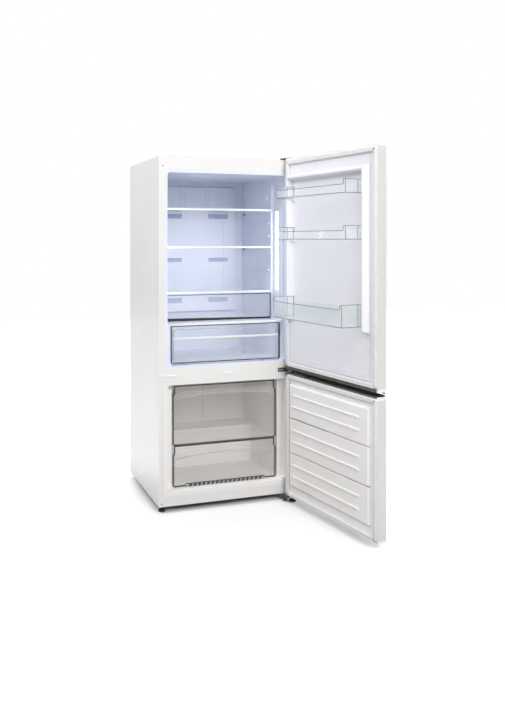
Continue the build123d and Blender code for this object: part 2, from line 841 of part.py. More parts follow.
with BuildPart() as top_hinge:
    block((hinge_left, hinge_right), (hinge_near, hinge_far), (cabinet_top, cabinet_top + plate))
    block((cover_right + 2 * cover_wall, hinge_right), (hinge_near - plate, hinge_near + plate),
          (cabinet_top, arm_low + plate))
    with BuildSketch(Plane.XY.offset(arm_low)):
        with BuildLine():
            Polyline(
                (cover_right + 2 * cover_wall, hinge_near + plate),
                (hinge_right, hinge_near + plate),
                (hinge_x + hinge_nose, hinge_y),
                (hinge_x - hinge_nose, hinge_y),
                close=True,
            )
        make_face()
        with Locations((hinge_x, hinge_y)):
            Circle(hinge_nose)
    extrude(amount=plate)
    with Locations((hinge_x, hinge_y, arm_low)):
        Cylinder(pin_radius, pin_reach + plate / 2, align=(Align.CENTER, Align.CENTER, Align.MAX))
    for x, y in top_screw_points:
        with Locations((x, y, cabinet_top)):
            Cylinder(screw_hole, 3 * plate, mode=Mode.SUBTRACT)
keep(top_hinge, "top_hinge")

with BuildPart() as top_hinge_cover:
    block((cover_left, cover_right), (cover_near, cover_far), (cabinet_top, cabinet_top + cover_height))
    fillet(top_hinge_cover.edges().filter_by(Axis.Z), 2 * cover_wall)
    block((cover_left + cover_wall, cover_right - cover_wall),
          (cover_near + cover_wall, cover_far - cover_wall),
          (cabinet_top - cover_wall, cabinet_top + cover_height - cover_wall), Mode.SUBTRACT)
    block((cover_right - 2 * cover_wall, cover_right + cover_wall),
          (hinge_near - slide_gap, hinge_far + slide_gap),
          (cabinet_top - plate, cabinet_top + plate + slide_gap), Mode.SUBTRACT)
keep(top_hinge_cover, "top_hinge_cover")

with BuildPart() as middle_hinge:
    block((middle_plate_left, middle_plate_right), (-middle_plate, 0), (middle_plate_low, middle_plate_high))
    with BuildSketch(Plane.XY.offset(middle_level - arm_wall / 2)):
        with BuildLine():
            Polyline(
                (middle_arm_left, -middle_plate / 2),
                (middle_plate_right, -middle_plate / 2),
                (hinge_x + collar_radius, hinge_y),
                (hinge_x - collar_radius, hinge_y),
                close=True,
            )
        make_face()
        with Locations((hinge_x, hinge_y)):
            Circle(collar_radius)
    extrude(amount=arm_wall)
    with Locations((hinge_x, hinge_y, middle_level)):
        Cylinder(pin_radius, 2 * (fridge_door_bottom - middle_level + pin_reach))
        Cylinder(collar_radius, fridge_door_bottom - middle_level - slide_gap,
                 align=(Align.CENTER, Align.CENTER, Align.MIN))
    for x, z in middle_screw_points:
        with BuildSketch(facing(-middle_plate)):
            with Locations((x, z)):
                Circle(screw_hole)
        extrude(amount=-middle_plate, mode=Mode.SUBTRACT)
keep(middle_hinge, "middle_hinge")

with BuildPart() as bottom_hinge:
    plate_span = (base_level - bottom_plate, base_level)
    block((bottom_plate_left, hinge_right), (0, bottom_plate_far), plate_span)
    block((bottom_nose_left, hinge_right), (hinge_y - hinge_nose, 0), plate_span)
    block((bottom_nose_left, skirt_right), (skirt_front, skirt_back), (skirt_low, base_level))
    with Locations((hinge_x, hinge_y, base_level)):
        Cylinder(pin_radius, pin_reach, align=(Align.CENTER, Align.CENTER, Align.MIN))
    with Locations((hinge_x, hinge_y, base_level - bottom_plate)):
        Cylinder(stem_radius + pin_gap, stem_reach + slide_gap,
                 align=(Align.CENTER, Align.CENTER, Align.MIN), mode=Mode.SUBTRACT)
    for x, y in bottom_screw_points:
        with Locations((x, y, base_level)):
            Cylinder(screw_hole, 4 * bottom_plate, mode=Mode.SUBTRACT)
keep(bottom_hinge, "bottom_hinge")


def screw(seat, reach):
    """Hinge screw, its head standing up from seat and its shank reaching down, added to the group."""
    with Locations(seat):
        Cylinder(screw_head, screw_head_height, align=(Align.CENTER, Align.CENTER, Align.MIN))
        Cylinder(screw_shank, reach, align=(Align.CENTER, Align.CENTER, Align.MAX))


with BuildPart() as hinge_screws:
    for x, y in top_screw_points:
        screw(Plane((x, y, cabinet_top + plate)), screw_length)
    for x, z in middle_screw_points:
        screw(Plane((x, -middle_plate, z), z_dir=(0, -1, 0)), screw_length)
    for x, y in bottom_screw_points:
        screw(Plane((x, y, base_level - bottom_plate), z_dir=(0, 0, -1)), bottom_plate + pan_wall)
keep(hinge_screws, "hinge_screws")


# ---------------------------------------------------------------- doors, made shut
def door_plan(inset, back):
    """Plan of a door with rounded front corners, its sides and front moved inwards by inset."""
    with BuildSketch() as plan:
        with Locations((0, (door_outer + inset + back) / 2)):
            Rectangle(cabinet_width - 2 * inset, back - door_outer - inset)
        fillet(plan.vertices().group_by(Axis.Y)[0], door_radius - inset)
    return plan.sketch


def fridge_door_relief(inset):
    """Raised panel and slanted dikes of the fridge door's liner, their surface moved inwards by inset."""
    face = door_inner - inset
    dike_top = dike_high - inset
    dike_bottom = dike_low + inset
    pocket_top = dike_high - (dike_base - dike_pocket_base) + inset
    pocket_bottom = dike_low - 2 * dike_height
    with BuildPart() as relief:
        with BuildSketch(facing_back(face)):
            with Locations((0, (dike_top + dike_bottom) / 2)):
                Rectangle(2 * (dike_base - inset), dike_top - dike_bottom)
        extrude(amount=dike_height, taper=degrees(atan((dike_base - dike_crest) / dike_height)))
        with BuildSketch(facing_back(face)):
            with Locations((0, (pocket_top + pocket_bottom) / 2)):
                Rectangle(2 * (dike_pocket_base + inset), pocket_top - pocket_bottom)
        pocket_taper = degrees(atan((dike_pocket_crest - dike_pocket_base) / dike_height))
        extrude(amount=dike_height, taper=-pocket_taper, mode=Mode.SUBTRACT)
        block((inset - panel_half, panel_half - inset), (face, face + panel_rise),
              (panel_low + inset, dike_high - liner_wall - inset))
    return relief.part


def freezer_door_relief(inset):
    """Three raised panels of the freezer door's liner, their surface moved inwards by inset."""
    face = door_inner - inset
    crest = face + freezer_panel_rise
    pitch = (freezer_panel_high - freezer_panel_low + groove) / section_count
    flank_taper = degrees(atan(freezer_panel_slope / freezer_panel_rise))
    with BuildPart() as relief:
        with BuildSketch(facing_back(face)):
            with Locations((0, (freezer_panel_high + freezer_panel_low) / 2)):
                Rectangle(2 * (freezer_panel_half - inset),
                          freezer_panel_high - freezer_panel_low - 2 * inset)
        extrude(amount=freezer_panel_rise, taper=flank_taper)
        for section in range(1, section_count):
            groove_low = freezer_panel_low + section * pitch - groove
            block((-freezer_panel_half, freezer_panel_half), (face, crest),
                  (groove_low - inset, groove_low + groove + inset), Mode.SUBTRACT)
        if inset == 0:
            for section in range(section_count):
                low = freezer_panel_low + section * pitch
                for side in (-1, 1):
                    middle = low + (pitch - groove + side * rib_pitch) / 2
                    block((-rib_bar_left, rib_bar_right), (crest, crest + rib_bar_rise),
                          (middle - rib_bar / 2, middle + rib_bar / 2))
    return relief.part


def door_core(low, high, relief, lug_levels=()):
    """Skin, liner and foam of a door between its two end profiles."""
    with BuildPart() as skin:
        with BuildSketch(Plane.XY.offset(low)):
            add(door_plan(0, door_inner))
            add(door_plan(sheet, door_inner), mode=Mode.SUBTRACT)
        extrude(amount=high - low)
    with BuildPart() as liner:
        block((-inside_half, inside_half), (door_inner - liner_wall, door_inner), (low, high))
        add(relief(0))
        for level in lug_levels:
            for hand in (-1, 1):
                lug_span = sorted((hand * (bin_half - lug_width), hand * (bin_half + lug_width)))
                block(lug_span, (door_inner, door_inner + lug_depth),
                      (level - slide_gap - lug_height, level - slide_gap))
        add(relief(liner_wall), mode=Mode.SUBTRACT)
    with BuildPart() as foam:
        with BuildSketch(Plane.XY.offset(low)):
            add(door_plan(sheet, door_inner - liner_wall))
        extrude(amount=high - low)
        add(relief(liner_wall))
    return skin, liner, foam


def end_profile(low, height):
    """End profile of a door with its bore for the hinge pin, added to the piece being built."""
    with BuildSketch(Plane.XY.offset(low)) as plan:
        add(door_plan(0, door_inner))
        with Locations((hinge_x, hinge_y)):
            Circle(pin_radius + pin_gap, mode=Mode.SUBTRACT)
    extrude(plan.sketch, amount=height)


def gasket(low, high):
    """Magnetic gasket frame on the inside of a door, added to the piece being built."""
    with BuildSketch(facing(-gasket_gap)) as frame:
        with Locations(((gasket_hinge_edge - gasket_free_edge) / 2, (low + high) / 2)):
            RectangleRounded(gasket_free_edge + gasket_hinge_edge, high - low, gasket_width / 2)
            Rectangle(gasket_free_edge + gasket_hinge_edge - 2 * gasket_width, high - low - 2 * gasket_width,
                      mode=Mode.SUBTRACT)
    extrude(frame.sketch, amount=door_gap - gasket_gap)


grip_channel_span = ((-grip_channel_left, grip_channel_right),
                     (door_outer + grip_channel_near, door_outer + grip_channel_far))

fridge_low = fridge_door_bottom + grip_cap_height
fridge_high = fridge_door_top - cap_height
bin_floors = [floor for floor, depth, front, end in bin_sizes.values()]
skin, liner, foam = door_core(fridge_low, fridge_high, fridge_door_relief, bin_floors)
keep(skin, "fridge_door_skin", door_pieces)
keep(liner, "fridge_door_liner", door_pieces)
keep(foam, "fridge_door_foam", door_pieces)

with BuildPart() as fridge_door_top_cap:
    end_profile(fridge_high, cap_height)
keep(fridge_door_top_cap, "fridge_door_top_cap", door_pieces)

with BuildPart() as fridge_door_bottom_grip:
    end_profile(fridge_door_bottom, grip_cap_height)
    block(*grip_channel_span, (fridge_door_bottom, fridge_door_bottom + grip_channel_depth), Mode.SUBTRACT)
    block((-grip_channel_left, grip_lip_right),
          (door_outer + sheet, door_outer + sheet + grip_lip_wall),
          (fridge_door_bottom - grip_lip_drop, fridge_door_bottom))
keep(fridge_door_bottom_grip, "fridge_door_bottom_grip", door_pieces)

with BuildPart() as fridge_door_gasket:
    gasket(fridge_low, fridge_door_top - gasket_end_inset - gasket_top_inset)
keep(fridge_door_gasket, "fridge_door_gasket", door_pieces)

freezer_low = freezer_door_bottom + cap_height
freezer_high = freezer_door_top - grip_cap_height
skin, liner, foam = door_core(freezer_low, freezer_high, freezer_door_relief)
keep(skin, "freezer_door_skin", door_pieces)
keep(liner, "freezer_door_liner", door_pieces)
keep(foam, "freezer_door_foam", door_pieces)

with BuildPart() as freezer_door_top_grip:
    end_profile(freezer_high, grip_cap_height)
    block(*grip_channel_span, (freezer_door_top - grip_channel_depth, freezer_door_top), Mode.SUBTRACT)
keep(freezer_door_top_grip, "freezer_door_top_grip", door_pieces)

with BuildPart() as freezer_door_bottom_cap:
    end_profile(freezer_door_bottom, cap_height)
keep(freezer_door_bottom_cap, "freezer_door_bottom_cap", door_pieces)

with BuildPart() as freezer_door_gasket:
    gasket(freezer_door_bottom + gasket_end_inset, freezer_door_top - gasket_end_inset - liner_wall)
keep(freezer_door_gasket, "freezer_door_gasket", door_pieces)

# ---------------------------------------------------------------- door bins
for place, (floor, depth, front_height, end_height) in bin_sizes.items():
    with BuildSketch() as bin_plan:
        with Locations((0, (bin_back + depth) / 2)):
            Rectangle(2 * bin_half, depth - bin_back)
        fillet(bin_plan.vertices().group_by(Axis.Y)[-1], bin_radius)
    with BuildPart() as door_bin:
        with BuildSketch(Plane.XY.offset(floor)):
            add(bin_plan.sketch)
        extrude(amount=end_height)
        with BuildSketch(Plane.XY.offset(floor + bin_wall)):
            add(bin_plan.sketch)
            offset(amount=-bin_wall, mode=Mode.REPLACE)
        extrude(amount=end_height, mode=Mode.SUBTRACT)
        block((bin_radius - bin_half, bin_half - bin_radius), (bin_back - bin_wall, depth + bin_wall),
              (floor + front_height, floor + end_height + bin_wall), Mode.SUBTRACT)
    keep(door_bin, f"{place}_bin", door_pieces)

# ---------------------------------------------------------------- doors opened, whole set on its origin
pin = Location((hinge_x, hinge_y, 0))
swing = pin * Location((0, 0, 0), (0, 0, door_open_angle)) * pin.inverse()
pieces = fixed_pieces + [piece.moved(swing) for piece in door_pieces]

boxes = [piece.bounding_box() for piece in pieces]
box_low = [min(getattr(box.min, axis) for box in boxes) for axis in "XYZ"]
box_high = [max(getattr(box.max, axis) for box in boxes) for axis in "XYZ"]
shift = (-(box_low[0] + box_high[0]) / 2, -(box_low[1] + box_high[1]) / 2, -box_low[2])
print("size", [round(high - low, 3) for low, high in zip(box_low, box_high)], "shift", shift)

for piece in pieces:
    placed = piece.moved(Location(shift))
    export_step(placed, f"parts/{placed.label}.step")
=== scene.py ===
import math

import bpy
import bmesh
from mathutils import Matrix, Vector


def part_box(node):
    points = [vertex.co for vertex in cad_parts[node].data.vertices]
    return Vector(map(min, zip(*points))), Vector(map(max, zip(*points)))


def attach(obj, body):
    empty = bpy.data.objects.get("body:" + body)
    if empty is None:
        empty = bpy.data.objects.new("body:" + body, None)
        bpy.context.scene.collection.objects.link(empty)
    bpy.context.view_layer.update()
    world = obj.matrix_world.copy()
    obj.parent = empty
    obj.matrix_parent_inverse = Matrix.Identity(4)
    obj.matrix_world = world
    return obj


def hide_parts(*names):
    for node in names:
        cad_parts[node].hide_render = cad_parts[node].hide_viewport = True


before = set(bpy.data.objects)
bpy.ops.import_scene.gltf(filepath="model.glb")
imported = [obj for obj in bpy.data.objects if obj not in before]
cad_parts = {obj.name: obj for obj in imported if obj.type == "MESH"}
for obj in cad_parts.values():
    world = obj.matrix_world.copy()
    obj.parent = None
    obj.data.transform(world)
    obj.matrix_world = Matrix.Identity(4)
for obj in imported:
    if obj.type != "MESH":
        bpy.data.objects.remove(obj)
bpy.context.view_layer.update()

# ------------------------------------------------------------------ camera
# Eye level in front of the cabinet's left corner, the way a catalogue picture of it is taken.  The lens
# is shifted, not tilted, so that the upright edges stay upright.
EYE, EYE_HEADING = (-1.34166, -3.41737, 1.2995), -18.711
LENS, SENSOR_WIDTH = 38.775, 36
LENS_SHIFT = (0.0668, -0.1593)
scene = bpy.context.scene
camera = bpy.data.objects.new("camera", bpy.data.cameras.new("camera"))
scene.collection.objects.link(camera)
camera.location = EYE
camera.rotation_euler = (math.radians(90), 0, math.radians(EYE_HEADING))
camera.data.lens, camera.data.sensor_width = LENS, SENSOR_WIDTH
camera.data.shift_x, camera.data.shift_y = LENS_SHIFT
scene.camera = camera
scene.view_settings.view_transform = "Standard"

# ------------------------------------------------------------------ studio
# A white room with three soft lamps: one high in front, a smaller one high on the left that draws out the
# relief of the doors, and one on the right for their outside.  The floor looks white but throws less light
# back up; inside an oval it keeps the shadow, and beyond it is lifted to the white of the backdrop.
WHITE = (1, 1, 1, 1)
SURROUND, BACKDROP = 0.50, 1.0
LAMPS = {"key_lamp": ((0.0, -4.3, 3.5), 2.2, 142.0),  # place and width in metres, power in watts
         "left_lamp": ((-2.6, -0.4, 3.7), 1.4, 62.0),
         "right_lamp": ((3.4, 1.6, 2.8), 2.0, 66.0)}
LAMP_AIM = Vector((0, 0, 0.85))
FLOOR_HALF = 9.0
FLOOR_OVAL = (0.62, 0.98, 1.0)
FLOOR_FADE, FLOOR_LIFT = (0.70, 1.30), (0.0, 1.0)
FLOOR_SEEN, FLOOR_BOUNCE = (0.95, 0.95, 0.95, 1), (0.36, 0.36, 0.36, 1)


def seen_directly(nodes, link):
    """Socket that is 1 for rays from the eye, a mirror image or glass, and 0 for rays that carry light."""
    path = nodes.new("ShaderNodeLightPath")
    total = path.outputs["Is Camera Ray"]
    for kind in ("Is Glossy Ray", "Is Transmission Ray"):
        either = nodes.new("ShaderNodeMath")
        either.operation = "MAXIMUM"
        link(total, either.inputs[0])
        link(path.outputs[kind], either.inputs[1])
        total = either.outputs[0]
    return total


world = bpy.data.worlds.new("white_room")
scene.world = world
world.use_nodes = True
nodes, link = world.node_tree.nodes, world.node_tree.links.new
even_light, backdrop = nodes["Background"], nodes.new("ShaderNodeBackground")
for shader, strength in ((even_light, SURROUND), (backdrop, BACKDROP)):
    shader.inputs["Color"].default_value, shader.inputs["Strength"].default_value = WHITE, strength
either_world = nodes.new("ShaderNodeMixShader")
link(seen_directly(nodes, link), either_world.inputs["Fac"])
link(even_light.outputs[0], either_world.inputs[1])
link(backdrop.outputs[0], either_world.inputs[2])
link(either_world.outputs[0], nodes["World Output"].inputs["Surface"])

for lamp_name, (spot, size, power) in LAMPS.items():
    data = bpy.data.lights.new(lamp_name, "AREA")
    data.shape, data.size, data.energy = "DISK", size, power
    lamp = bpy.data.objects.new(lamp_name, data)
    scene.collection.objects.link(lamp)
    lamp.location = spot
    lamp.rotation_euler = (Vector(spot) - LAMP_AIM).to_track_quat("Z", "Y").to_euler()

floor_mesh = bpy.data.meshes.new("studio_floor")
floor_mesh.from_pydata([(-FLOOR_HALF, -FLOOR_HALF, 0), (FLOOR_HALF, -FLOOR_HALF, 0),
                        (FLOOR_HALF, FLOOR_HALF, 0), (-FLOOR_HALF, FLOOR_HALF, 0)], [], [(0, 1, 2, 3)])
floor = bpy.data.objects.new("studio_floor", floor_mesh)
scene.collection.objects.link(floor)
floor_finish = bpy.data.materials.new("studio_floor")
floor_finish.use_nodes = True
nodes, link = floor_finish.node_tree.nodes, floor_finish.node_tree.links.new
matt = nodes["Principled BSDF"]
matt.inputs["Roughness"].default_value = 0.9
matt.inputs["Specular IOR Level"].default_value = 0.0
glow = nodes.new("ShaderNodeEmission")
seen = seen_directly(nodes, link)
link(seen, glow.inputs["Color"])
two_whites = nodes.new("ShaderNodeMix")
two_whites.data_type = "RGBA"
two_whites.inputs[6].default_value, two_whites.inputs[7].default_value = FLOOR_BOUNCE, FLOOR_SEEN
link(seen, two_whites.inputs["Factor"])
link(two_whites.outputs[2], matt.inputs["Base Color"])
oval = nodes.new("ShaderNodeVectorMath")
oval.operation = "DIVIDE"
link(nodes.new("ShaderNodeTexCoord").outputs["Object"], oval.inputs[0])
oval.inputs[1].default_value = FLOOR_OVAL
from_middle = nodes.new("ShaderNodeVectorMath")
from_middle.operation = "LENGTH"
link(oval.outputs[0], from_middle.inputs[0])
lift = nodes.new("ShaderNodeMapRange")
lift.interpolation_type = "SMOOTHSTEP"
for socket, value in zip(("From Min", "From Max", "To Min", "To Max"), FLOOR_FADE + FLOOR_LIFT):
    lift.inputs[socket].default_value = value
link(from_middle.outputs["Value"], lift.inputs["Value"])
link(lift.outputs["Result"], glow.inputs["Strength"])
lifted = nodes.new("ShaderNodeAddShader")
link(matt.outputs[0], lifted.inputs[0])
link(glow.outputs[0], lifted.inputs[1])
link(lifted.outputs[0], nodes["Material Output"].inputs["Surface"])
floor_mesh.materials.append(floor_finish)

# ------------------------------------------------------------------ painted cabinet shell
# Side panels, top panel and front rails are thin steel sheet, folded at the front, with a white baked
# enamel that has a faint orange peel.  Pieces are drawn in millimetres from the middle of the cabinet's
# front flange at floor level, those of a door as if it were shut, and are then set home or ajar.
MM = 0.001
CABINET_HALF = 350.0
HINGE_PIN = Vector((328.1, -39.95, 0.0))
OPENED = math.radians(98.4)
panel_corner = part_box("left_side_panel")[0]
home = Matrix.Translation((panel_corner.x + CABINET_HALF * MM, panel_corner.y, 0)) @ Matrix.Scale(MM, 4)
ajar = (home @ Matrix.Translation(HINGE_PIN) @ Matrix.Rotation(OPENED, 4, "Z")
        @ Matrix.Translation(-HINGE_PIN))
NOISE_SPAN = (0.32, 0.68)


def tone(code):
    """Linear colour of a hexadecimal colour code."""
    parts = [int(code[at:at + 2], 16) / 255 for at in (0, 2, 4)]
    return [part / 12.92 if part <= 0.04045 else ((part + 0.055) / 1.055) ** 2.4 for part in parts] + [1.0]


def noise(nodes, link, coords, scale, detail):
    """Noise on the piece's own coordinates, stretched to run from 0 to 1."""
    cloud = nodes.new("ShaderNodeTexNoise")
    cloud.inputs["Scale"].default_value = scale
    cloud.inputs["Detail"].default_value = detail
    link(coords, cloud.inputs["Vector"])
    level = nodes.new("ShaderNodeMapRange")
    level.inputs["From Min"].default_value, level.inputs["From Max"].default_value = NOISE_SPAN
    link(cloud.outputs["Fac"], level.inputs["Value"])
    return level.outputs["Result"]


def ranged(nodes, link, value, low, high):
    """A 0 to 1 value brought to run from low to high."""
    level = nodes.new("ShaderNodeMapRange")
    level.inputs["To Min"].default_value, level.inputs["To Max"].default_value = low, high
    link(value, level.inputs["Value"])
    return level.outputs["Result"]


def surface(name, pale, deep, patch, grain, gloss, relief, **sockets):
    """A finish with two near tones in soft patches and a fine grain in its gloss and its relief.

    patch and grain are how many to a metre, gloss the lowest and highest roughness, relief in metres."""
    made = bpy.data.materials.new(name)
    made.use_nodes = True
    nodes, link = made.node_tree.nodes, made.node_tree.links.new
    shader = nodes["Principled BSDF"]
    coords = nodes.new("ShaderNodeTexCoord").outputs["Object"]
    tint = nodes.new("ShaderNodeMix")
    tint.data_type = "RGBA"
    tint.inputs[6].default_value, tint.inputs[7].default_value = tone(pale), tone(deep)
    link(noise(nodes, link, coords, patch, detail=2.0), tint.inputs["Factor"])
    link(tint.outputs[2], shader.inputs["Base Color"])
    fine = noise(nodes, link, coords, grain, detail=3.0)
    link(ranged(nodes, link, fine, *gloss), shader.inputs["Roughness"])
    bump = nodes.new("ShaderNodeBump")
    bump.inputs["Distance"].default_value = relief
    link(fine, bump.inputs["Height"])
    link(bump.outputs["Normal"], shader.inputs["Normal"])
    for socket, value in sockets.items():
        shader.inputs[socket.replace("_", " ")].default_value = value
    return made


def paint(finish, *names):
    """Give CAD nodes that keep their own shape their finish."""
    for name in names:
        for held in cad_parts[name].material_slots:
            held.material = finish


enamel = surface("cabinet_enamel", "ECEBE9", "E8E7E5", 4.0, 520.0, (0.30, 0.40), 0.00004,
                 Coat_Weight=0.25, Coat_Roughness=0.12)
paint(enamel, "left_side_panel", "right_side_panel", "top_panel", "middle_rail", "bottom_rail")

# ------------------------------------------------------------------ blanking caps
# Small moulded plugs press into the hinge holes that are not used.  The left flange has two more holes, at
# its top and its foot; each is drawn as a thin dark grey disc, painted shade in the hole.
SHARP = math.radians(32)  # the least angle of an edge that stays crisp
FLAT = math.radians(0.5)  # the most by which faces of one flat differ
WELD_HOME, WELD, CUT_GAP = 1e-6, 1e-4, 1e-5
HOLE_PLACES = [(-331, 0, 1652), (-336, 0, 44)]


def slab(bm, x, y, z):
    """A block between three pairs of planes."""
    corners = [bm.verts.new((a, b, c)) for a in x for b in y for c in z]
    for face in ((0, 1, 3, 2), (4, 6, 7, 5), (0, 4, 5, 1), (2, 3, 7, 6), (0, 2, 6, 4), (1, 5, 7, 3)):
        bm.faces.new([corners[i] for i in face])


def turned(bm, outline, centre, axis="Z", steps=48):
    """A turned part: an outline of (radius, height) spun about an axis through centre."""
    turn = {"Z": Matrix.Identity(3), "Y": Matrix.Rotation(math.radians(-90), 3, "X"),
            "X": Matrix.Rotation(math.radians(90), 3, "Y")}[axis]
    rings = []
    for radius, height in outline:
        count = steps if radius > 0 else 1
        angles = [2 * math.pi * i / steps for i in range(count)]
        rings.append([bm.verts.new(Vector(centre) + turn @ Vector(
            (radius * math.cos(angle), radius * math.sin(angle), height))) for angle in angles])
    closed = outline[0][0] > 0
    for low, high in zip(rings, rings[1:] + (rings[:1] if closed else [])):
        for i in range(steps):
            around = (low, i), (low, i + 1), (high, i + 1), (high, i)
            face = list(dict.fromkeys(ring[j % len(ring)] for ring, j in around))
            if len(face) > 2:
                bm.faces.new(face)


def recast(node):
    """A copy of a CAD node's mesh with its loose triangles joined and its flat faces made whole."""
    bm = bmesh.new()
    bm.from_mesh(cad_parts[node].data)
    bmesh.ops.remove_doubles(bm, verts=bm.verts, dist=WELD_HOME)
    bmesh.ops.dissolve_limit(bm, angle_limit=FLAT, verts=bm.verts, edges=bm.edges)
    return bm


def cut(bm, point, outward):
    """Cut a drawn solid at a plane through point, drop what lies outward of it and close the cut."""
    bmesh.ops.bisect_plane(bm, geom=bm.verts[:] + bm.edges[:] + bm.faces[:], dist=CUT_GAP, plane_co=point,
                           plane_no=outward, clear_outer=True)
    bmesh.ops.holes_fill(bm, edges=[e for e in bm.edges if e.is_boundary], sides=0)
    return bm


def drawn(node, place):
    """A CAD node's mesh brought back to the millimetres that place sets in their place."""
    bm = recast(node)
    bm.transform(place.inverted())
    return bm


def fitted(name, bm, finish, body, slot, *nodes, place=None, edge=0.0, steps=2):
    """Make a mesh a piece of its body, with its edges rounded by edge millimetres.

    place is for what is drawn in millimetres; a recast node is in its place already.  Clear pieces cast no
    shadow, because light has too many of their faces to pass on its way in."""
    if place is not None:
        bmesh.ops.remove_doubles(bm, verts=bm.verts, dist=WELD)
        bmesh.ops.recalc_face_normals(bm, faces=bm.faces)
        bm.transform(place)
    mesh = bpy.data.meshes.new(name)
    bm.to_mesh(mesh)
    bm.free()
    mesh.materials.append(finish)
    for face in mesh.polygons:
        face.use_smooth = True
        face.material_index = 0
    mesh.set_sharp_from_angle(angle=SHARP)
    piece = bpy.data.objects.new(name, mesh)
    scene.collection.objects.link(piece)
    if finish.name.startswith("clear_"):
        piece.visible_shadow = piece.visible_diffuse = False
    if edge:
        round_over = piece.modifiers.new("edge", "BEVEL")
        round_over.width, round_over.segments = edge * MM, steps
        round_over.limit_method, round_over.angle_limit = "ANGLE", SHARP
        even = piece.modifiers.new("even", "WEIGHTED_NORMAL")
        even.keep_sharp = True
    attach(piece, body)
    if nodes:
        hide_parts(*nodes)


def dressed(name, node, finish, body, slot, edge=0.0, steps=2):
    """The piece that takes the place of one CAD node and keeps its shape."""
    fitted(name, recast(node), finish, body, slot, node, edge=edge, steps=steps)


def set_out_tree():
    """Rows of one small shape: a row of Count, Step apart, stands at every point of the carrier mesh.

    Fan turns each shape of a row by that much more than the one before."""
    tree = bpy.data.node_groups.new("set_out", "GeometryNodeTree")
    for name, kind in (("Places", "Geometry"), ("Shape", "Object"), ("Count", "Int"), ("Step", "Vector"),
                       ("Fan", "Vector"), ("Finish", "Material")):
        tree.interface.new_socket(name, in_out="INPUT", socket_type="NodeSocket" + kind)
    tree.interface.new_socket("Pieces", in_out="OUTPUT", socket_type="NodeSocketGeometry")
    nodes, link = tree.nodes, tree.links.new
    given, result = nodes.new("NodeGroupInput"), nodes.new("NodeGroupOutput")
    shape = nodes.new("GeometryNodeObjectInfo")
    link(given.outputs["Shape"], shape.inputs["Object"])
    row = nodes.new("GeometryNodeMeshLine")
    row.mode = "OFFSET"
    link(given.outputs["Count"], row.inputs["Count"])
    link(given.outputs["Step"], row.inputs["Offset"])
    number = nodes.new("GeometryNodeInputIndex")
    turn = nodes.new("ShaderNodeVectorMath")
    turn.operation = "SCALE"
    link(given.outputs["Fan"], turn.inputs[0])
    link(number.outputs[0], turn.inputs["Scale"])
    angle = nodes.new("FunctionNodeEulerToRotation")
    link(turn.outputs[0], angle.inputs[0])
    one_row = nodes.new("GeometryNodeInstanceOnPoints")
    link(row.outputs["Mesh"], one_row.inputs["Points"])
    link(shape.outputs["Geometry"], one_row.inputs["Instance"])
    link(angle.outputs[0], one_row.inputs["Rotation"])
    every_row = nodes.new("GeometryNodeInstanceOnPoints")
    link(given.outputs["Places"], every_row.inputs["Points"])
    link(one_row.outputs["Instances"], every_row.inputs["Instance"])
    real = nodes.new("GeometryNodeRealizeInstances")
    link(every_row.outputs["Instances"], real.inputs["Geometry"])
    coated = nodes.new("GeometryNodeSetMaterial")
    link(real.outputs["Geometry"], coated.inputs["Geometry"])
    link(given.outputs["Finish"], coated.inputs["Material"])
    link(coated.outputs["Geometry"], result.inputs["Pieces"])
    return tree


set_out = set_out_tree()


def rows_of(shape, finish, places, count=1, step=(0, 0, 0), fan=(0, 0, 0)):
    """A bmesh with a row of a small shape at each place, made by the set_out tree."""
    bmesh.ops.recalc_face_normals(shape, faces=shape.faces)
    pattern = bpy.data.objects.new("pattern", bpy.data.meshes.new("pattern"))
    shape.to_mesh(pattern.data)
    shape.free()
    carrier = bpy.data.objects.new("carrier", bpy.data.meshes.new("carrier"))
    carrier.data.from_pydata([tuple(p) for p in places], [], [])
    for helper in (pattern, carrier):
        scene.collection.objects.link(helper)
    maker = carrier.modifiers.new("set_out", "NODES")
    maker.node_group = set_out
    given = {"Shape": pattern, "Count": count, "Step": step, "Fan": fan, "Finish": finish}
    for socket in set_out.interface.items_tree:
        if socket.in_out == "INPUT" and socket.name in given:
            maker[socket.identifier] = given[socket.name]
    bpy.context.view_layer.update()
    made = bpy.data.meshes.new_from_object(carrier.evaluated_get(bpy.context.evaluated_depsgraph_get()))
    result = bmesh.new()
    result.from_mesh(made)
    for helper in (carrier, pattern):
        bpy.data.objects.remove(helper)
    bpy.data.meshes.remove(made)
    return result


white = surface("moulded_white", "F6F6F7", "EFEFF2", 9.0, 900.0, (0.28, 0.38), 0.00003)
dressed("blanking_cap_set", "blanking_caps", white, "cabinet", "white_plastic", edge=0.8)
# Painted shade: the dark grey of the disc in each flange hole.
hole_shade = surface("shaded_hole", "6B6A69", "5C5B5A", 40.0, 900.0, (0.5, 0.6), 0.00003)
pin_hole = bmesh.new()
turned(pin_hole, [(0, -0.06), (2.9, -0.06), (3.3, -0.16), (3.4, 0.4), (0, 0.4)], (0, 0, 0), "Y", 20)
fitted("flange_holes", rows_of(pin_hole, hole_shade, HOLE_PLACES), hole_shade, "cabinet", "white_plastic",
       place=home)

# ------------------------------------------------------------------ back, base and foam
# The back is a galvanised sheet with its zinc spangle showing; the base pan, with the machine room's
# wall and ceiling, is enamelled black.  Polyurethane foam fills the space between shell and liners.
SPANGLES = 75.0  # to a metre


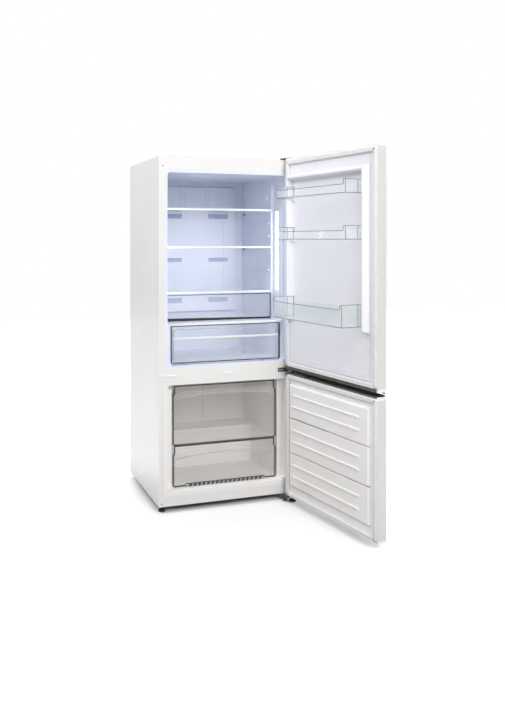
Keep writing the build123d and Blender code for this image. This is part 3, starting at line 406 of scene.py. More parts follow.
def spangled(name, pale, deep, gloss):
    """Zinc-coated sheet: pale and darker crystals a few millimetres across."""
    made = surface(name, pale, deep, 60.0, 700.0, gloss, 0.00002, Metallic=0.85)
    nodes, link = made.node_tree.nodes, made.node_tree.links.new
    coords = next(n for n in nodes if n.type == "TEX_COORD").outputs["Object"]
    crystals = nodes.new("ShaderNodeTexVoronoi")
    crystals.inputs["Scale"].default_value = SPANGLES
    link(coords, crystals.inputs["Vector"])
    grey = nodes.new("ShaderNodeRGBToBW")
    link(crystals.outputs["Color"], grey.inputs["Color"])
    tint = next(n for n in nodes if n.type == "MIX")
    link(grey.outputs[0], tint.inputs["Factor"])
    link(ranged(nodes, link, grey.outputs[0], *gloss), nodes["Principled BSDF"].inputs["Roughness"])
    return made


zinc = spangled("galvanised_sheet", "C9CBCD", "AEB2B6", (0.34, 0.52))
paint(zinc, "back_panel")
pan_enamel = surface("black_enamel", "232426", "191A1C", 12.0, 600.0, (0.35, 0.48), 0.00006)
paint(pan_enamel, "base_pan")
foam = surface("poured_foam", "EDE8DC", "E3DCCB", 30.0, 500.0, (0.85, 0.95), 0.0006)
paint(foam, "cabinet_insulation", "fridge_door_foam", "freezer_door_foam")

# ------------------------------------------------------------------ liner of the fridge compartment
# One thermoformed shell of glossy white polystyrene, with soft corners and ribs that carry the shelves.
# The faint blue in its colour is painted light: the cold light of the boards on the white plastic.
# A round sensor button sits in its right wall.
BUTTON_PLACE = (287, 188, 1516)
liner = surface("fridge_liner", "EAEEF9", "E3E8F6", 3.0, 700.0, (0.24, 0.34), 0.00003)
dressed("fridge_liner_shell", "fridge_liner", liner, "cabinet", "liner_plastic", edge=1.2)
button = bmesh.new()
turned(button, [(0, 0.5), (12, 0.5), (12, -2.0), (11, -3.2), (8, -3.6), (7.5, -3.0), (0, -3.0)],
       BUTTON_PLACE, "X")
fitted("sensor_button", button, white, "cabinet", "white_plastic", place=home)

# ------------------------------------------------------------------ air duct and its outlets
# A moulded cover over the air channel in the rear wall, clipped on, with fine grooves on its face that are
# drawn as darker strips: painted shade.  Each outlet has slanted louvres a few millimetres apart, in front
# of a backing of the same blue.
VENT_ROWS = ((1462, 20), (1430, 26), (1188, 21), (965, 26))  # level of the middle, height
VENT_MIDDLE, VENT_HALF, VENT_MARGIN, VENT_BACK = 135.0, 57.0, 2, (533.0, 534.0)
LOUVRE_PITCH, LOUVRE_DEPTH, LOUVRE_SLANT = 5.2, 528.0, -38
DUCT_LINES = ((63, 1478, 1586), (85, 1478, 1586), (166, 1206, 1410), (166, 985, 1172))  # across, from, to
LINE_HALF, DUCT_FACE = 0.9, (523.4, 524.4)
# Painted light: the faint blue of the cover, its louvres and its groove strips is the cold light of the
# boards.
duct = surface("duct_cover", "E9EDF9", "E2E8F6", 5.0, 800.0, (0.30, 0.42), 0.00003)
dressed("air_duct_cover", "fridge_air_duct", duct, "cabinet", "liner_plastic", edge=1.4)
vent_blue = surface("duct_louvre", "D2DAF2", "C6D0EB", 20.0, 900.0, (0.35, 0.5), 0.00004)
louvre = bmesh.new()
slab(louvre, (0.4 - VENT_HALF, VENT_HALF - 0.4), (-0.6, 0.6), (-3.0, 3.0))
louvre.transform(Matrix.Rotation(math.radians(LOUVRE_SLANT), 4, "X"))
louvre_places = []
for level, height in VENT_ROWS:
    for side in (-1, 1):
        count = int(height / LOUVRE_PITCH)
        for i in range(count):
            shift = (i - (count - 1) / 2) * LOUVRE_PITCH
            louvre_places.append((side * VENT_MIDDLE, LOUVRE_DEPTH, level + shift))
louvres = rows_of(louvre, vent_blue, louvre_places)
for level, height in VENT_ROWS:
    for side in (-1, 1):
        middle, reach, rise = side * VENT_MIDDLE, VENT_HALF + VENT_MARGIN, height / 2 + VENT_MARGIN
        slab(louvres, (middle - reach, middle + reach), VENT_BACK, (level - rise, level + rise))
fitted("air_duct_louvres", louvres, vent_blue, "cabinet", "liner_plastic", place=home)
# Painted shade: darker strips stand for the shade in the fine grooves of the cover.
duct_groove_shade = surface("duct_groove_shade", "CBD4EC", "C0CAE5", 20.0, 900.0, (0.35, 0.5), 0.00003)
lines = bmesh.new()
for side in (-1, 1):
    for across, low, high in DUCT_LINES:
        slab(lines, (side * across - LINE_HALF, side * across + LINE_HALF), DUCT_FACE, (low, high))
fitted("air_duct_lines", lines, duct_groove_shade, "cabinet", "liner_plastic", place=home)

# ------------------------------------------------------------------ light covers
# Frosted strips over the light-emitting boards in both side walls of the front bay.  The boards are lit,
# as the door is open, and their light is drawn as a bright band on the face of each strip.
LIT_SIDE, LIT_DEPTH, LIT_LEVEL = (299.9, 300.6), (72.0, 106.0), (1046.0, 1444.0)
GLOW, GLOW_STRENGTH = (0.87, 0.92, 1.0, 1), 7.5
frosted = surface("frosted_cover", "FBFCFF", "F2F5FD", 30.0, 900.0, (0.35, 0.5), 0.00003)
dressed("light_cover_pair", "led_covers", frosted, "cabinet", "light_cover", edge=0.6)
light = surface("lit_board", "FFFFFF", "F4F7FF", 30.0, 900.0, (0.35, 0.5), 0.00003,
                Emission_Color=GLOW, Emission_Strength=GLOW_STRENGTH)
boards = bmesh.new()
for side in (-1, 1):
    slab(boards, sorted(side * x for x in LIT_SIDE), LIT_DEPTH, LIT_LEVEL)
fitted("light_boards", boards, light, "cabinet", "light_cover", place=home, edge=0.2)

# ------------------------------------------------------------------ shelves
# Toughened glass with a greenish cut edge, held by a white moulded trim in front and a clear one behind,
# on ribs of the liner with a small hook at the back of each side.
TRIM_SPLIT = (0, 300, 0)
HOOK_SIDE, HOOK_BACK, HOOK_LEVELS = 281, 499, (1444, 1253, 1025)
SLANT = 0.35  # how soon a clear face counts as seen edgeways


def clear(name, pale, deep, thin, thick, gloss, **sockets):
    """A clear finish: thin is its cover face on, thick its cover where it is seen edgeways."""
    made = surface(name, pale, deep, 8.0, 300.0, gloss, 0.00001, **sockets)
    nodes, link = made.node_tree.nodes, made.node_tree.links.new
    slant = nodes.new("ShaderNodeLayerWeight")
    slant.inputs["Blend"].default_value = SLANT
    cover = ranged(nodes, link, slant.outputs["Facing"], thin, thick)
    link(cover, nodes["Principled BSDF"].inputs["Alpha"])
    return made


glass = clear("clear_glass", "EAF4F3", "DDEEEA", 0.07, 0.70, (0.03, 0.07), Coat_Weight=0.2)
crystal = clear("clear_polystyrene", "F2F5F9", "E6EBF2", 0.015, 0.42, (0.05, 0.10))
faint = clear("clear_trim", "F4F7FB", "EAEEF5", 0.01, 0.24, (0.05, 0.10))
for shelf in ("upper", "middle", "lower"):
    dressed(f"{shelf}_shelf_pane", f"{shelf}_shelf_glass", glass, f"{shelf}_shelf", "shelf_glass",
            edge=0.5)
    for end, dropped, finish in (("front", 1, white), ("rear", -1, faint)):
        trim = cut(drawn(f"{shelf}_shelf_trim", home), TRIM_SPLIT, (0, dropped, 0))
        fitted(f"{shelf}_shelf_{end}", trim, finish, f"{shelf}_shelf", "white_plastic",
               f"{shelf}_shelf_trim", place=home, edge=1.5)

hook_grey = surface("moulded_hook", "9AA3BC", "8C96B2", 20.0, 900.0, (0.35, 0.5), 0.00004)
hook = bmesh.new()
slab(hook, (-4, 4), (-9, 9), (-9, 0))
slab(hook, (-4, 4), (4, 9), (-1, 6))
hook_places = [(side * HOOK_SIDE, HOOK_BACK, level) for side in (-1, 1) for level in HOOK_LEVELS]
fitted("shelf_hooks", rows_of(hook, hook_grey, hook_places), hook_grey, "cabinet", "liner_plastic",
       place=home, edge=0.8)

# ------------------------------------------------------------------ crisper cover
# A frosted clear panel over the crisper that carries the chiller drawer; its white front edge is turned
# down over the crisper.
COVER_SPLIT = (0, 60, 0)
veiled = clear("clear_cover", "F1F4F9", "E6EBF3", 0.30, 0.70, (0.20, 0.30))
for part, dropped, finish, edge in (("panel", -1, veiled, 0.8), ("edge", 1, white, 1.0)):
    cover = cut(drawn("crisper_cover", home), COVER_SPLIT, (0, dropped, 0))
    fitted(f"crisper_cover_{part}", cover, finish, "crisper_cover", "clear_plastic", "crisper_cover",
           place=home, edge=edge)

# ------------------------------------------------------------------ chiller drawer
# A shallow drawer of clear polystyrene under the lowest shelf; its front has rounded corners and a smoky
# edge all round.  A black strip along its foot is painted shadow, that of the gap over the crisper cover.
CHILLER_FRONT, CHILLER_CORNER = ((-285, 285), (895.3, 1026.3)), 10
CHILLER_RIM = [(0, 131.0), (0, 136.9), (4.5, 136.9), (4.5, 131.0)]
GAP_SHADOW_OUTLINE, GAP_SHADOW_DEPTH = [(-281, 895.5), (281, 895.5), (281, 904.0), (-281, 910.0)], (130.0, 133.4)
smoke = clear("smoked_polystyrene", "6A7280", "59606E", 0.62, 0.95, (0.10, 0.18))
black = surface("grained_black", "1E1F22", "141517", 30.0, 1100.0, (0.45, 0.6), 0.00008)


def corner_points(x, z, radius, steps=6):
    """Outline of a rectangle with rounded corners, against the clock from its low right corner."""
    points = []
    left, right, low, high = x[0] + radius, x[1] - radius, z[0] + radius, z[1] - radius
    corners = (right, low, -90), (right, high, 0), (left, high, 90), (left, low, 180)
    for centre_x, centre_z, start in corners:
        for i in range(steps + 1):
            angle = math.radians(start + 90 * i / steps)
            points.append((centre_x + radius * math.cos(angle), centre_z + radius * math.sin(angle)))
    return points


def inward(outline):
    """The shift of each corner that moves every side of an outline against the clock in by 1."""
    shifts = []
    for before, here, after in zip(outline[-1:] + outline[:-1], outline, outline[1:] + outline[:1]):
        ways = []
        for start, end in ((before, here), (here, after)):
            run_x, run_z = end[0] - start[0], end[1] - start[1]
            run = math.hypot(run_x, run_z)
            ways.append((-run_z / run, run_x / run))
        both_x, both_z = ways[0][0] + ways[1][0], ways[0][1] + ways[1][1]
        fit = 2 / (both_x * both_x + both_z * both_z)
        shifts.append((both_x * fit, both_z * fit))
    return shifts


def rim(bm, outline, section):
    """A closed frame: a section of (inset, y) carried round an outline of (x, z)."""
    shifts = inward(outline)
    rings = [[bm.verts.new((x + inset * sx, y, z + inset * sz)) for inset, y in section]
             for (x, z), (sx, sz) in zip(outline, shifts)]
    for ring, after in zip(rings, rings[1:] + rings[:1]):
        for i in range(len(section)):
            j = (i + 1) % len(section)
            bm.faces.new((ring[i], ring[j], after[j], after[i]))


def plate(bm, outline, near, far, inset=0.0):
    """A flat plate with an outline of (x, z), drawn in by inset, between two depths."""
    shifts = inward(outline)
    near_ring, far_ring = [[bm.verts.new((x + inset * sx, y, z + inset * sz))
                            for (x, z), (sx, sz) in zip(outline, shifts)] for y in (near, far)]
    bm.faces.new(near_ring)
    bm.faces.new(far_ring[::-1])
    for i in range(len(outline)):
        j = (i + 1) % len(outline)
        bm.faces.new((near_ring[i], far_ring[i], far_ring[j], near_ring[j]))


dressed("chiller_box", "chiller_drawer", crystal, "chiller_drawer", "clear_plastic", edge=0.8)
edging = bmesh.new()
rim(edging, corner_points(*CHILLER_FRONT, CHILLER_CORNER), CHILLER_RIM)
fitted("chiller_edging", edging, smoke, "chiller_drawer", "clear_plastic", place=home, edge=0.6)
# Painted shadow: the black strip stands for the shadow in the gap under the drawer's front.
strip = bmesh.new()
plate(strip, GAP_SHADOW_OUTLINE, *GAP_SHADOW_DEPTH)
fitted("chiller_foot_strip", strip, black, "chiller_drawer", "clear_plastic", place=home, edge=0.8)

# ------------------------------------------------------------------ crisper drawer
# A deep clear tub behind a clear front; the front has a thin dark edge all round, a pale lip of the tub
# inside it and a bright bar for the hand across its upper part.
CRISPER_FRONT, CRISPER_CORNER = ((-284, 284), (704, 885.7)), 7
CRISPER_RIM = [(0, 18.6), (0, 30), (4, 30), (4, 18.2), (0.6, 18.2)]
PANE_DEPTH, PANE_INSET = (18.6, 21.0), 3.8
CRISPER_LIP, LIP_CORNER = ((-269, 269), (707, 867)), 16
LIP_RIM = [(0, 30.2), (0, 33.4), (3.5, 33.4), (3.5, 30.2)]
HAND_BAR = ((-275, 275), (21.2, 30), (818.7, 827.7))
crystal_edge = clear("clear_edge", "C9CFD8", "B9C0CB", 0.45, 0.85, (0.08, 0.14))
ink = clear("dark_edge", "33363C", "282B31", 0.80, 0.97, (0.12, 0.20))
dressed("crisper_box", "crisper_tub", crystal, "crisper_drawer", "clear_plastic", edge=0.8)
crisper_outline = corner_points(*CRISPER_FRONT, CRISPER_CORNER)
edging = bmesh.new()
rim(edging, crisper_outline, CRISPER_RIM)
fitted("crisper_frame", edging, ink, "crisper_drawer", "clear_plastic", "crisper_front", place=home,
       edge=0.4)
front = bmesh.new()
plate(front, crisper_outline, *PANE_DEPTH, PANE_INSET)
fitted("crisper_pane", front, crystal, "crisper_drawer", "clear_plastic", "crisper_front", place=home)
lip = bmesh.new()
rim(lip, corner_points(*CRISPER_LIP, LIP_CORNER), LIP_RIM)
fitted("crisper_lip", lip, crystal_edge, "crisper_drawer", "clear_plastic", place=home, edge=0.4)
bar = bmesh.new()
slab(bar, *HAND_BAR)
fitted("crisper_bar", bar, white, "crisper_drawer", "clear_plastic", "crisper_front", place=home,
       edge=1.5)

# ------------------------------------------------------------------ freezer liner and rear panel
# The freezer's liner is the same kind of shell in a warmer white, stepped over the machine room.  The
# rear panel in front of the cooling coil has slots for the cold air and a raised fan cover; a thin grey
# rim round the cover is painted shade in the joint.
FAN_COVER, FAN_COVER_CORNER, FAN_COVER_DEPTH = ((30, 262), (302, 566)), 8, (478.0, 480.2)
JOINT, JOINT_CORNER = ((28.6, 263.4), (300.6, 567.4)), 9
JOINT_RIM = [(0, 479.2), (0, 480.4), (1.6, 480.4), (1.6, 479.2)]
freezer_white = surface("freezer_liner", "F5F3F1", "EFEDEA", 3.0, 700.0, (0.30, 0.42), 0.00003)
dressed("freezer_liner_shell", "freezer_liner", freezer_white, "cabinet", "freezer_plastic", edge=1.2)
dressed("freezer_rear_panel", "freezer_back_panel", freezer_white, "cabinet", "freezer_plastic",
        edge=0.8)
fan_cover = bmesh.new()
plate(fan_cover, corner_points(*FAN_COVER, FAN_COVER_CORNER), *FAN_COVER_DEPTH)
fitted("freezer_fan_cover", fan_cover, freezer_white, "cabinet", "freezer_plastic", place=home, edge=0.8)
# Painted shade: the grey rim in the joint round the fan cover.
joint_shade = surface("shaded_joint", "A9A6A4", "9C9997", 40.0, 900.0, (0.5, 0.6), 0.00003)
joint = bmesh.new()
rim(joint, corner_points(*JOINT, JOINT_CORNER), JOINT_RIM)
fitted("fan_cover_joint", joint, joint_shade, "cabinet", "freezer_plastic", place=home)

# ------------------------------------------------------------------ freezer drawers
# Two drawers of faintly frosted plastic, with thin dark frames that are notched at the top corners to
# pass the liner.  An arched scoop with a ledge at its foot stiffens each front.
FRONT_HALF, FOOT_BEVEL, FRONT_DEPTH, FRONT_INSET = 269.0, 6, (35.8, 38.4), 3.4
NOTCH_DROP, NOTCH_DEPTH, NOTCH_SLOPE = 48.0, 7.0, 14.0
FRAME_RIM = [(0, 36), (0, 48.8), (3.6, 48.8), (3.6, 35.4), (0.8, 35.2)]
ARCH_HALF, ARCH_STEP = 258, 43
frozen = clear("clear_frosted", "E4E1DF", "D8D5D3", 0.05, 0.42, (0.08, 0.16))
scoop = clear("clear_scoop", "E9E7E5", "DDDBD9", 0.07, 0.36, (0.10, 0.18))
pale_edge = clear("pale_edge", "E9E7E6", "DAD8D7", 0.30, 0.70, (0.10, 0.18))
slate = clear("drawer_frame", "4E5057", "404249", 0.86, 0.97, (0.20, 0.30))
# An arched band: the drop from the top of the front and the rise of its two lines, and its depths.
ARCHES = (("scoop", scoop, ((66, 20), (34, 12)), (38.6, 40.2)),
          ("ledge", pale_edge, ((67.5, 20), (64.5, 20)), (38.6, 45.0)))
for drawer, low, high in (("upper", 306.0, 593.0), ("lower", 105.9, 303.0)):
    half = [(FRONT_HALF - FOOT_BEVEL, low), (FRONT_HALF, low + FOOT_BEVEL), (FRONT_HALF, high - NOTCH_DROP),
            (FRONT_HALF - NOTCH_DEPTH, high - NOTCH_DROP + NOTCH_SLOPE), (FRONT_HALF - NOTCH_DEPTH, high)]
    outline = half + [(-x, z) for x, z in reversed(half)]
    body = f"freezer_{drawer}_drawer"
    dressed(f"freezer_{drawer}_box", f"freezer_{drawer}_tub", frozen, body, "frozen_plastic", edge=0.8)
    edging = bmesh.new()
    rim(edging, outline, FRAME_RIM)
    fitted(f"freezer_{drawer}_frame", edging, slate, body, "frozen_plastic", f"freezer_{drawer}_front",
           place=home, edge=0.4)
    front = bmesh.new()
    plate(front, outline, *FRONT_DEPTH, FRONT_INSET)
    fitted(f"freezer_{drawer}_pane", front, frozen, body, "frozen_plastic", f"freezer_{drawer}_front",
           place=home)
    for part, finish, arcs, depth in ARCHES:
        across = range(-ARCH_HALF, ARCH_HALF + 1, ARCH_STEP)
        low_arch, high_arch = [[(x, high - drop + rise * (1 - (x / ARCH_HALF) ** 2)) for x in across]
                               for drop, rise in arcs]
        band = bmesh.new()
        plate(band, low_arch + high_arch[::-1], *depth)
        fitted(f"freezer_{drawer}_{part}", band, finish, body, "frozen_plastic", f"freezer_{drawer}_front",
               place=home, edge=0.6)

# The lower drawer has a strip to pull by along its foot, with slanted ribs under a rail.
GRIP_HALF, GRIP_LOW, GRIP_HIGH, GRIP_DEPTH = 205.0, 105.9, 121.5, (29.6, 35.2)
RIB_COUNT, RIB_PITCH, RIB_HALF, RIB_LEAN, RIB_DEPTH = 17, 22.8, 6.0, 2.6, (27.0, 29.8)
RAIL_DEPTH, RAIL_LEVEL = (26.8, 29.8), (GRIP_HIGH - 2.8, GRIP_HIGH + 0.4)
grip_grey = surface("ribbed_grip", "A9A9AC", "9E9EA2", 20.0, 900.0, (0.35, 0.5), 0.00005)
grip = bmesh.new()
slab(grip, (-GRIP_HALF, GRIP_HALF), GRIP_DEPTH, (GRIP_LOW, GRIP_HIGH))
fitted("freezer_lower_grip", grip, grip_grey, "freezer_lower_drawer", "frozen_plastic", place=home,
       edge=0.8)
grip_rib = bmesh.new()
plate(grip_rib, [(-RIB_LEAN - RIB_HALF, GRIP_LOW), (RIB_HALF - RIB_LEAN, GRIP_LOW),
                 (RIB_HALF + RIB_LEAN, GRIP_HIGH), (RIB_LEAN - RIB_HALF, GRIP_HIGH)], *RIB_DEPTH)
first_rib = (RIB_PITCH * (1 - RIB_COUNT) / 2, 0, 0)
grip_ribs = rows_of(grip_rib, slate, [first_rib], RIB_COUNT, (RIB_PITCH, 0, 0))
slab(grip_ribs, (-GRIP_HALF, GRIP_HALF), RAIL_DEPTH, RAIL_LEVEL)
fitted("freezer_grip_ribs", grip_ribs, slate, "freezer_lower_drawer", "frozen_plastic", place=home)

# ------------------------------------------------------------------ cooling behind the rear panel
# An aluminium tube-and-fin coil, with the fan above it that blows the cold air through the slots.
FIN_COUNT, FIN_PITCH, FIRST_FIN = 59, 7, (-203, 515, 390)
steel = surface("zinc_plated", "B9BBBD", "A4A7AA", 40.0, 1500.0, (0.25, 0.40), 0.00002, Metallic=0.9)
aluminium = surface("drawn_aluminium", "C3C6C9", "B1B5B9", 60.0, 1500.0, (0.28, 0.42), 0.00002,
                    Metallic=0.95)
dressed("evaporator_tube", "evaporator", aluminium, "cabinet", "coil_metal")
fin = bmesh.new()
slab(fin, (-0.25, 0.25), (-14, 14), (-76, 76))
fins = rows_of(fin, aluminium, [FIRST_FIN], FIN_COUNT, (FIN_PITCH, 0, 0))
fitted("evaporator_fins", fins, aluminium, "cabinet", "coil_metal", place=home)
dressed("evaporator_fan_blades", "evaporator_fan", white, "evaporator_fan", "white_plastic", edge=0.4)
dressed("evaporator_motor_can", "evaporator_fan_motor", steel, "cabinet", "dark_plastic", edge=1.0)

# ------------------------------------------------------------------ machine room
# Compressor, wire-on-tube condenser, tray for the defrost water, control box and mains inlet stand on
# the base pan behind the freezer.  The compressor has a welded seam, a terminal box and copper pipes.
COMPRESSOR_PLACE, TERMINALS = (130, 500, 126), ((196, 222), (476, 524), (90, 150))
# Each pipe: its corners, the radius of its bends and its own.
PIPES = (([(72, 470, 150), (30, 470, 150), (30, 420, 150), (30, 402, 150)], 9, 4.0),
         ([(72, 530, 120), (18, 530, 120), (18, 530, 66), (18, 450, 66), (-34, 450, 60)], 9, 3.0),
         ([(72, 505, 90), (44, 505, 90), (44, 560, 90), (44, 560, 130)], 8, 3.0))
WIRE_COUNT, WIRE_PITCH, FIRST_WIRES = 23, 12, [(-292, 445.4, 135), (-292, 454.6, 135)]
LID, LID_CORNER = ((-326, -224), (36, 118)), 6
LID_RIM = [(0, 587.5), (0, 589.2), (2, 589.8), (4, 589.2), (4, 587.5)]
LID_RIB_COUNT, LID_RIB_PITCH, FIRST_LID_RIB = 8, 8.5, (-275, 588, 48)
CONTACT_PLACES = [(-275, 590, 145), (-283, 590, 138), (-267, 590, 138)]
compressor_black = surface("compressor_enamel", "1B1C1E", "121315", 15.0, 600.0, (0.28, 0.40), 0.00006,
                           Coat_Weight=0.3, Coat_Roughness=0.2)
dressed("compressor_shell", "compressor", compressor_black, "cabinet", "compressor_paint", edge=0.8)
seam = bmesh.new()
turned(seam, [(77.4, -3.6), (80.2, -3.0), (81.0, 0), (80.2, 3.0), (77.4, 3.6)], COMPRESSOR_PLACE, steps=72)
slab(seam, *TERMINALS)
fitted("compressor_seam_and_terminals", seam, compressor_black, "cabinet", "compressor_paint", place=home,
       edge=1.2)


def tube(bm, route, radius, sides=10):
    """A round tube or bead along a route of points, turned a little at each, with its ends closed."""
    route = [Vector(point) for point in route]
    across, rings = None, []
    for before, here, after in zip(route[:1] + route[:-1], route, route[1:] + route[-1:]):
        along = ((here - before).normalized() + (after - here).normalized()).normalized()
        if across is None:
            across = along.orthogonal()
        across = (across - along * across.dot(along)).normalized()
        other = along.cross(across)
        angles = [2 * math.pi * i / sides for i in range(sides)]
        rings.append([bm.verts.new(here + radius * (math.cos(angle) * across + math.sin(angle) * other))
                      for angle in angles])
    for ring, following in zip(rings, rings[1:]):
        for i in range(sides):
            j = (i + 1) % sides
            bm.faces.new((ring[i], ring[j], following[j], following[i]))
    bm.faces.new(rings[0][::-1])
    bm.faces.new(rings[-1])


def bent(corners, radius, steps=6):
    """A route with its corners rounded: each corner point becomes an arc of points."""
    route = [Vector(corners[0])]
    for before, here, after in zip(corners, corners[1:], corners[2:]):
        here = Vector(here)
        arrive, leave = (here - Vector(before)).normalized(), (Vector(after) - here).normalized()
        turn = arrive.angle(leave)
        back = radius * math.tan(turn / 2)
        centre = here - arrive * back + (leave - arrive * arrive.dot(leave)).normalized() * radius
        first = here - arrive * back - centre
        for i in range(steps + 1):
            angle = turn * i / steps
            route.append(centre + first * math.cos(angle) + arrive * radius * math.sin(angle))
    return route + [Vector(corners[-1])]


copper = surface("copper_tube", "C98A63", "B4734D", 40.0, 1400.0, (0.25, 0.4), 0.00002, Metallic=0.95)
pipes = bmesh.new()
for corners, bend, radius in PIPES:
    tube(pipes, bent(corners, bend), radius)
fitted("copper_pipes", pipes, copper, "cabinet", "coil_metal", place=home)
dressed("condenser_tube", "condenser", compressor_black, "cabinet", "dark_steel")
wire = bmesh.new()
tube(wire, [(0, 0, -80), (0, 0, 80)], 0.8, 6)
wires = rows_of(wire, compressor_black, FIRST_WIRES, WIRE_COUNT, (WIRE_PITCH, 0, 0))
fitted("condenser_wires", wires, compressor_black, "cabinet", "dark_steel", place=home)
dressed("defrost_tray", "drip_tray", black, "cabinet", "control_plastic", edge=0.8)
grey = surface("moulded_grey", "C7C8CA", "BCBEC1", 12.0, 900.0, (0.4, 0.52), 0.00005)
dressed("control_housing", "control_box", grey, "cabinet", "control_plastic", edge=1.5)
lid = bmesh.new()
rim(lid, corner_points(*LID, LID_CORNER), LID_RIM)
rib = bmesh.new()
slab(rib, (-42, 42), (-0.4, 1.4), (-1.5, 1.5))
ribs = rows_of(rib, grey, [FIRST_LID_RIB], LID_RIB_COUNT, (0, 0, LID_RIB_PITCH))
fitted("control_lid_rim", lid, grey, "cabinet", "control_plastic", place=home)
fitted("control_lid_ribs", ribs, grey, "cabinet", "control_plastic", place=home)
dressed("mains_socket", "mains_inlet", black, "cabinet", "dark_plastic", edge=0.8)
contact = bmesh.new()
slab(contact, (-1.2, 1.2), (0, 7), (-2.5, 2.5))
contacts = rows_of(contact, steel, CONTACT_PLACES)
fitted("mains_contacts", contacts, steel, "cabinet", "dark_plastic", place=home)

# ------------------------------------------------------------------ feet and rollers
# Black levelling feet on threaded stems in front, the right one on the axis of the hinges, and rollers
# behind.
FOOT_PLACES = {"left": (-327.5, 30.0), "right": (HINGE_PIN.x, HINGE_PIN.y)}
ROLLER_PLACES = {"left": (-300, 560, 14), "right": (300, 560, 14)}
KNURLS = 24
THREAD_TURNS, THREAD_PITCH, THREAD_LEVEL = 5, 1.1, 13
WHEEL_SIDE = [(3.05, -10), (6, -10), (6.6, -8.4), (10.6, -8.4), (11.4, -10), (13.2, -10), (14, -9.2),
              (14, -2), (13, -1)]
for side in ("left", "right"):
    dressed(f"{side}_foot_disc", f"{side}_foot", black, f"{side}_foot", "foot_plastic", edge=0.6)
    x, y = FOOT_PLACES[side]
    knurl = bmesh.new()
    slab(knurl, (15.2, 16.2), (-0.8, 0.8), (1.5, 9.0))
    knurls = rows_of(knurl, black, [(x, y, 0)], KNURLS, fan=(0, 0, math.radians(360 / KNURLS)))
    fitted(f"{side}_foot_knurl", knurls, black, f"{side}_foot", "foot_plastic", place=home)
    thread = bmesh.new()
    turned(thread, [(3.8, -0.6), (4.4, 0), (3.8, 0.6)], (0, 0, 0), steps=24)
    threads = rows_of(thread, steel, [(x, y, THREAD_LEVEL)], THREAD_TURNS, (0, 0, THREAD_PITCH))
    fitted(f"{side}_foot_thread", threads, steel, f"{side}_foot", "foot_plastic", place=home)
    wheel = bmesh.new()
    turned(wheel, WHEEL_SIDE + [(radius, -height) for radius, height in reversed(WHEEL_SIDE)],
           ROLLER_PLACES[side], "X", 64)
    fitted(f"{side}_roller_wheel", wheel, black, f"{side}_roller", "foot_plastic", f"{side}_roller",
           place=home)

# ------------------------------------------------------------------ hinges
# Pressed steel brackets with pins; the top one has a white cover.  Pan-head screws hold them.
BRACKET_SLOTS = {"top_hinge": "dark_steel", "middle_hinge": "screw_steel", "bottom_hinge": "dark_steel"}
SCREW_HEAD = [(0, 0.9), (1.9, 0.9), (2.0, 2.4), (3.2, 2.3), (4.3, 1.2), (4.5, 0), (2.3, 0), (2.3, -11.5),
              (0, -12)]
SCREWS = (("top", 0, [(261, 17, 1703), (261, 39, 1703), (329, 39, 1703)]),  # hinge, tilt, places
          ("middle", 90, [(275, -2.5, 650), (290, -2.5, 650)]),
          ("bottom", 180, [(286, 16, 25), (286, 44, 25), (329, 44, 25)]))
dark_steel = surface("bracket_steel", "505255", "3F4144", 40.0, 1200.0, (0.30, 0.45), 0.00003,
                     Metallic=0.6)
for hinge, slot in BRACKET_SLOTS.items():
    dressed(f"{hinge}_bracket", hinge, dark_steel, "cabinet", slot, edge=0.5)
dressed("top_hinge_cap", "top_hinge_cover", white, "cabinet", "white_plastic", edge=1.5)
for hinge, tilt, places in SCREWS:
    head = bmesh.new()
    turned(head, SCREW_HEAD, (0, 0, 0), steps=30)
    head.transform(Matrix.Rotation(math.radians(tilt), 4, "X"))
    fitted(f"{hinge}_hinge_screws", rows_of(head, steel, places), steel, "cabinet", "screw_steel",
           "hinge_screws", place=home)

# ------------------------------------------------------------------ doors
# Each door is a painted skin and a thermoformed liner with foam between, moulded end profiles and a
# magnetic gasket.  The two profiles that face each other are dark channels for the fingers with pale
# cheeks; a dark lip of each, below and above the middle hinge's arm, closes the slit between the doors and
# is partly painted shade, a dark sheet where the slit lies in shadow.
GRIP_END = (-341.5, 0, 0)
LIP_DEPTH = (-59.2, -54.2)
LIPS = {"fridge_door": ((279.9, 346.0), (654.2, 660.1)), "freezer_door": ((-340.0, 346.0), (640.9, 647.6))}
RIDGE, RIDGE_CORNER, RIDGE_DEPTH = ((-294, 294), (0, 3.2)), 1.5, (-8.2, -6.6)
RIDGE_COUNT, RIDGE_PITCH, FIRST_RIDGE = 3, 9, (0, 0, 706)
GASKET_SECTION = [(0, -12), (0, -9.6), (2.6, -8.2), (2.6, -7.2), (0.8, -5.6), (0.8, -2.2), (2.4, -0.3),
                  (16.6, -0.3), (18.2, -2.2), (18.2, -5.6), (16.4, -7.2), (16.4, -8.2), (19, -9.6),
                  (19, -12)]
GASKET_ACROSS, GASKET_CORNER = (-348, 327), 9.5
# The doors' enamel is a greyer copy of the cabinet's; the grey is painted shade on the doors.
shaded_door_enamel = surface("shaded_door_enamel", "DFDDDB", "DAD8D6", 4.0, 520.0, (0.28, 0.38), 0.00004,
                      Coat_Weight=0.25, Coat_Roughness=0.12)
door_liner = surface("door_liner", "EFEFF4", "E9E9F0", 3.0, 700.0, (0.26, 0.36), 0.00003)
warm_liner = surface("freezer_door_liner", "F9F7F6", "F4F2F0", 3.0, 700.0, (0.28, 0.38), 0.00003)
grip_finish = surface("grip_profile", "5B5753", "4E4A47", 20.0, 900.0, (0.38, 0.5), 0.00005)
rubber = surface("gasket_rubber", "EAE9E8", "E2E1E0", 20.0, 1400.0, (0.5, 0.62), 0.00004)
paint(shaded_door_enamel, "fridge_door_skin", "freezer_door_skin")
dressed("fridge_door_inner", "fridge_door_liner", door_liner, "fridge_door", "door_liner_plastic",
        edge=2.0, steps=3)
ridge = bmesh.new()
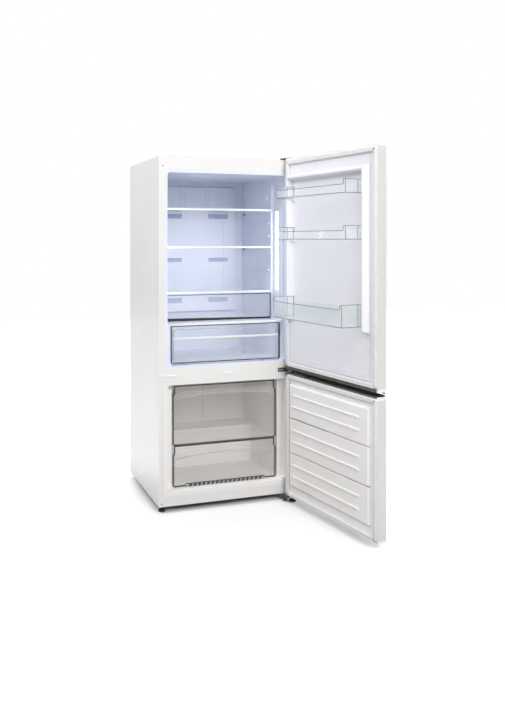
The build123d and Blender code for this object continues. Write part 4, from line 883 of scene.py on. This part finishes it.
plate(ridge, corner_points(*RIDGE, RIDGE_CORNER), *RIDGE_DEPTH)
ridges = rows_of(ridge, door_liner, [FIRST_RIDGE], RIDGE_COUNT, (0, 0, RIDGE_PITCH))
fitted("fridge_door_ridges", ridges, door_liner, "fridge_door", "door_liner_plastic", place=ajar, edge=0.5)
dressed("freezer_door_inner", "freezer_door_liner", warm_liner, "freezer_door", "door_liner_plastic",
        edge=1.1, steps=3)
for door, end in (("fridge_door", "top_cap"), ("freezer_door", "bottom_cap")):
    dressed(f"{door}_{end}_profile", f"{door}_{end}", white, door, "white_plastic", edge=0.8)
for door, end in (("fridge_door", "bottom_grip"), ("freezer_door", "top_grip")):
    channel = cut(drawn(f"{door}_{end}", ajar), GRIP_END, (-1, 0, 0))
    width, height = LIPS[door]
    # Painted shade: the dark lip stands where the slit between the doors lies in shadow.
    slab(channel, width, LIP_DEPTH, height)
    fitted(f"{door}_{end}_channel", channel, grip_finish, door, "grip_plastic", f"{door}_{end}", place=ajar,
           edge=0.8)
    cheek = cut(drawn(f"{door}_{end}", ajar), GRIP_END, (1, 0, 0))
    fitted(f"{door}_{end}_cheek", cheek, white, door, "grip_plastic", f"{door}_{end}", place=ajar, edge=0.8)
for door, low, high in (("fridge_door", 676.0, 1690.0), ("freezer_door", 36.0, 634.0)):
    seal = bmesh.new()
    rim(seal, corner_points(GASKET_ACROSS, (low, high), GASKET_CORNER), GASKET_SECTION)
    fitted(f"{door}_seal", seal, rubber, door, "gasket_rubber", f"{door}_gasket", place=ajar)

# ------------------------------------------------------------------ door bins
# Clear moulded bins that hang on lugs of the fridge door's liner.  Their rims, feet and corner posts are
# thicker and look darker; the front is lower than the ends.  A dark post where each end meets the dike of
# the door's liner is painted shade in that corner.
BIN_HALF, BIN_BACK, DIKE_SHADE_DEPTH, BIN_STEP = 270.2, -7.0, 29.5, 257.0
RIM_BEND, FOOT_BEND, RIM_DROP, FOOT_RISE = 6.0, 13.0, 1.2, 1.4
POST_IN, POST_BACK = 4, 3.8
RIM_RADIUS, FOOT_RADIUS, BEAD_SIDES = 1.3, 1.6, 8
bead = clear("bin_bead", "757D86", "666E78", 0.66, 0.94, (0.08, 0.14))
sea_green = clear("clear_green", "DCE5E5", "CFDADA", 0.10, 0.52, (0.05, 0.10))
# Each bin: the level of its floor, its depth, the heights of its front and its ends, its finish.
BINS = {"top_bin": (1498.0, 95.4, 39.0, 60.0, crystal),
        "middle_bin": (1301.0, 95.4, 39.0, 60.0, crystal),
        "bottom_bin": (929.0, 114.4, 77.0, 97.0, sea_green)}
for bin_name, (floor_level, reach, front, end, finish) in BINS.items():
    dressed(f"{bin_name}_box", bin_name, finish, bin_name, "clear_plastic", edge=0.8)
    beads = bmesh.new()
    foot = floor_level + FOOT_RISE
    front_top, end_top = floor_level + front - RIM_DROP, floor_level + end - RIM_DROP
    for side in (-1, 1):
        outer, step = side * BIN_HALF, side * BIN_STEP
        tube(beads, bent([(outer, BIN_BACK, end_top), (outer, reach, end_top), (step, reach, end_top),
                          (step, reach, front_top), (0, reach, front_top)], RIM_BEND),
             RIM_RADIUS, BEAD_SIDES)
        tube(beads, bent([(outer, BIN_BACK, foot), (outer, reach, foot), (0, reach, foot)], FOOT_BEND),
             FOOT_RADIUS, BEAD_SIDES)
        # Painted shade: the post at the dike's depth is the shade where the bin's end meets the dike.
        for depth, inset in ((BIN_BACK, 0), (DIKE_SHADE_DEPTH, 0), (reach - POST_BACK, POST_IN)):
            post = outer - side * inset
            tube(beads, [(post, depth, foot), (post, depth, end_top)], RIM_RADIUS, BEAD_SIDES)
    fitted(f"{bin_name}_beads", beads, bead, bin_name, "clear_plastic", place=ajar)
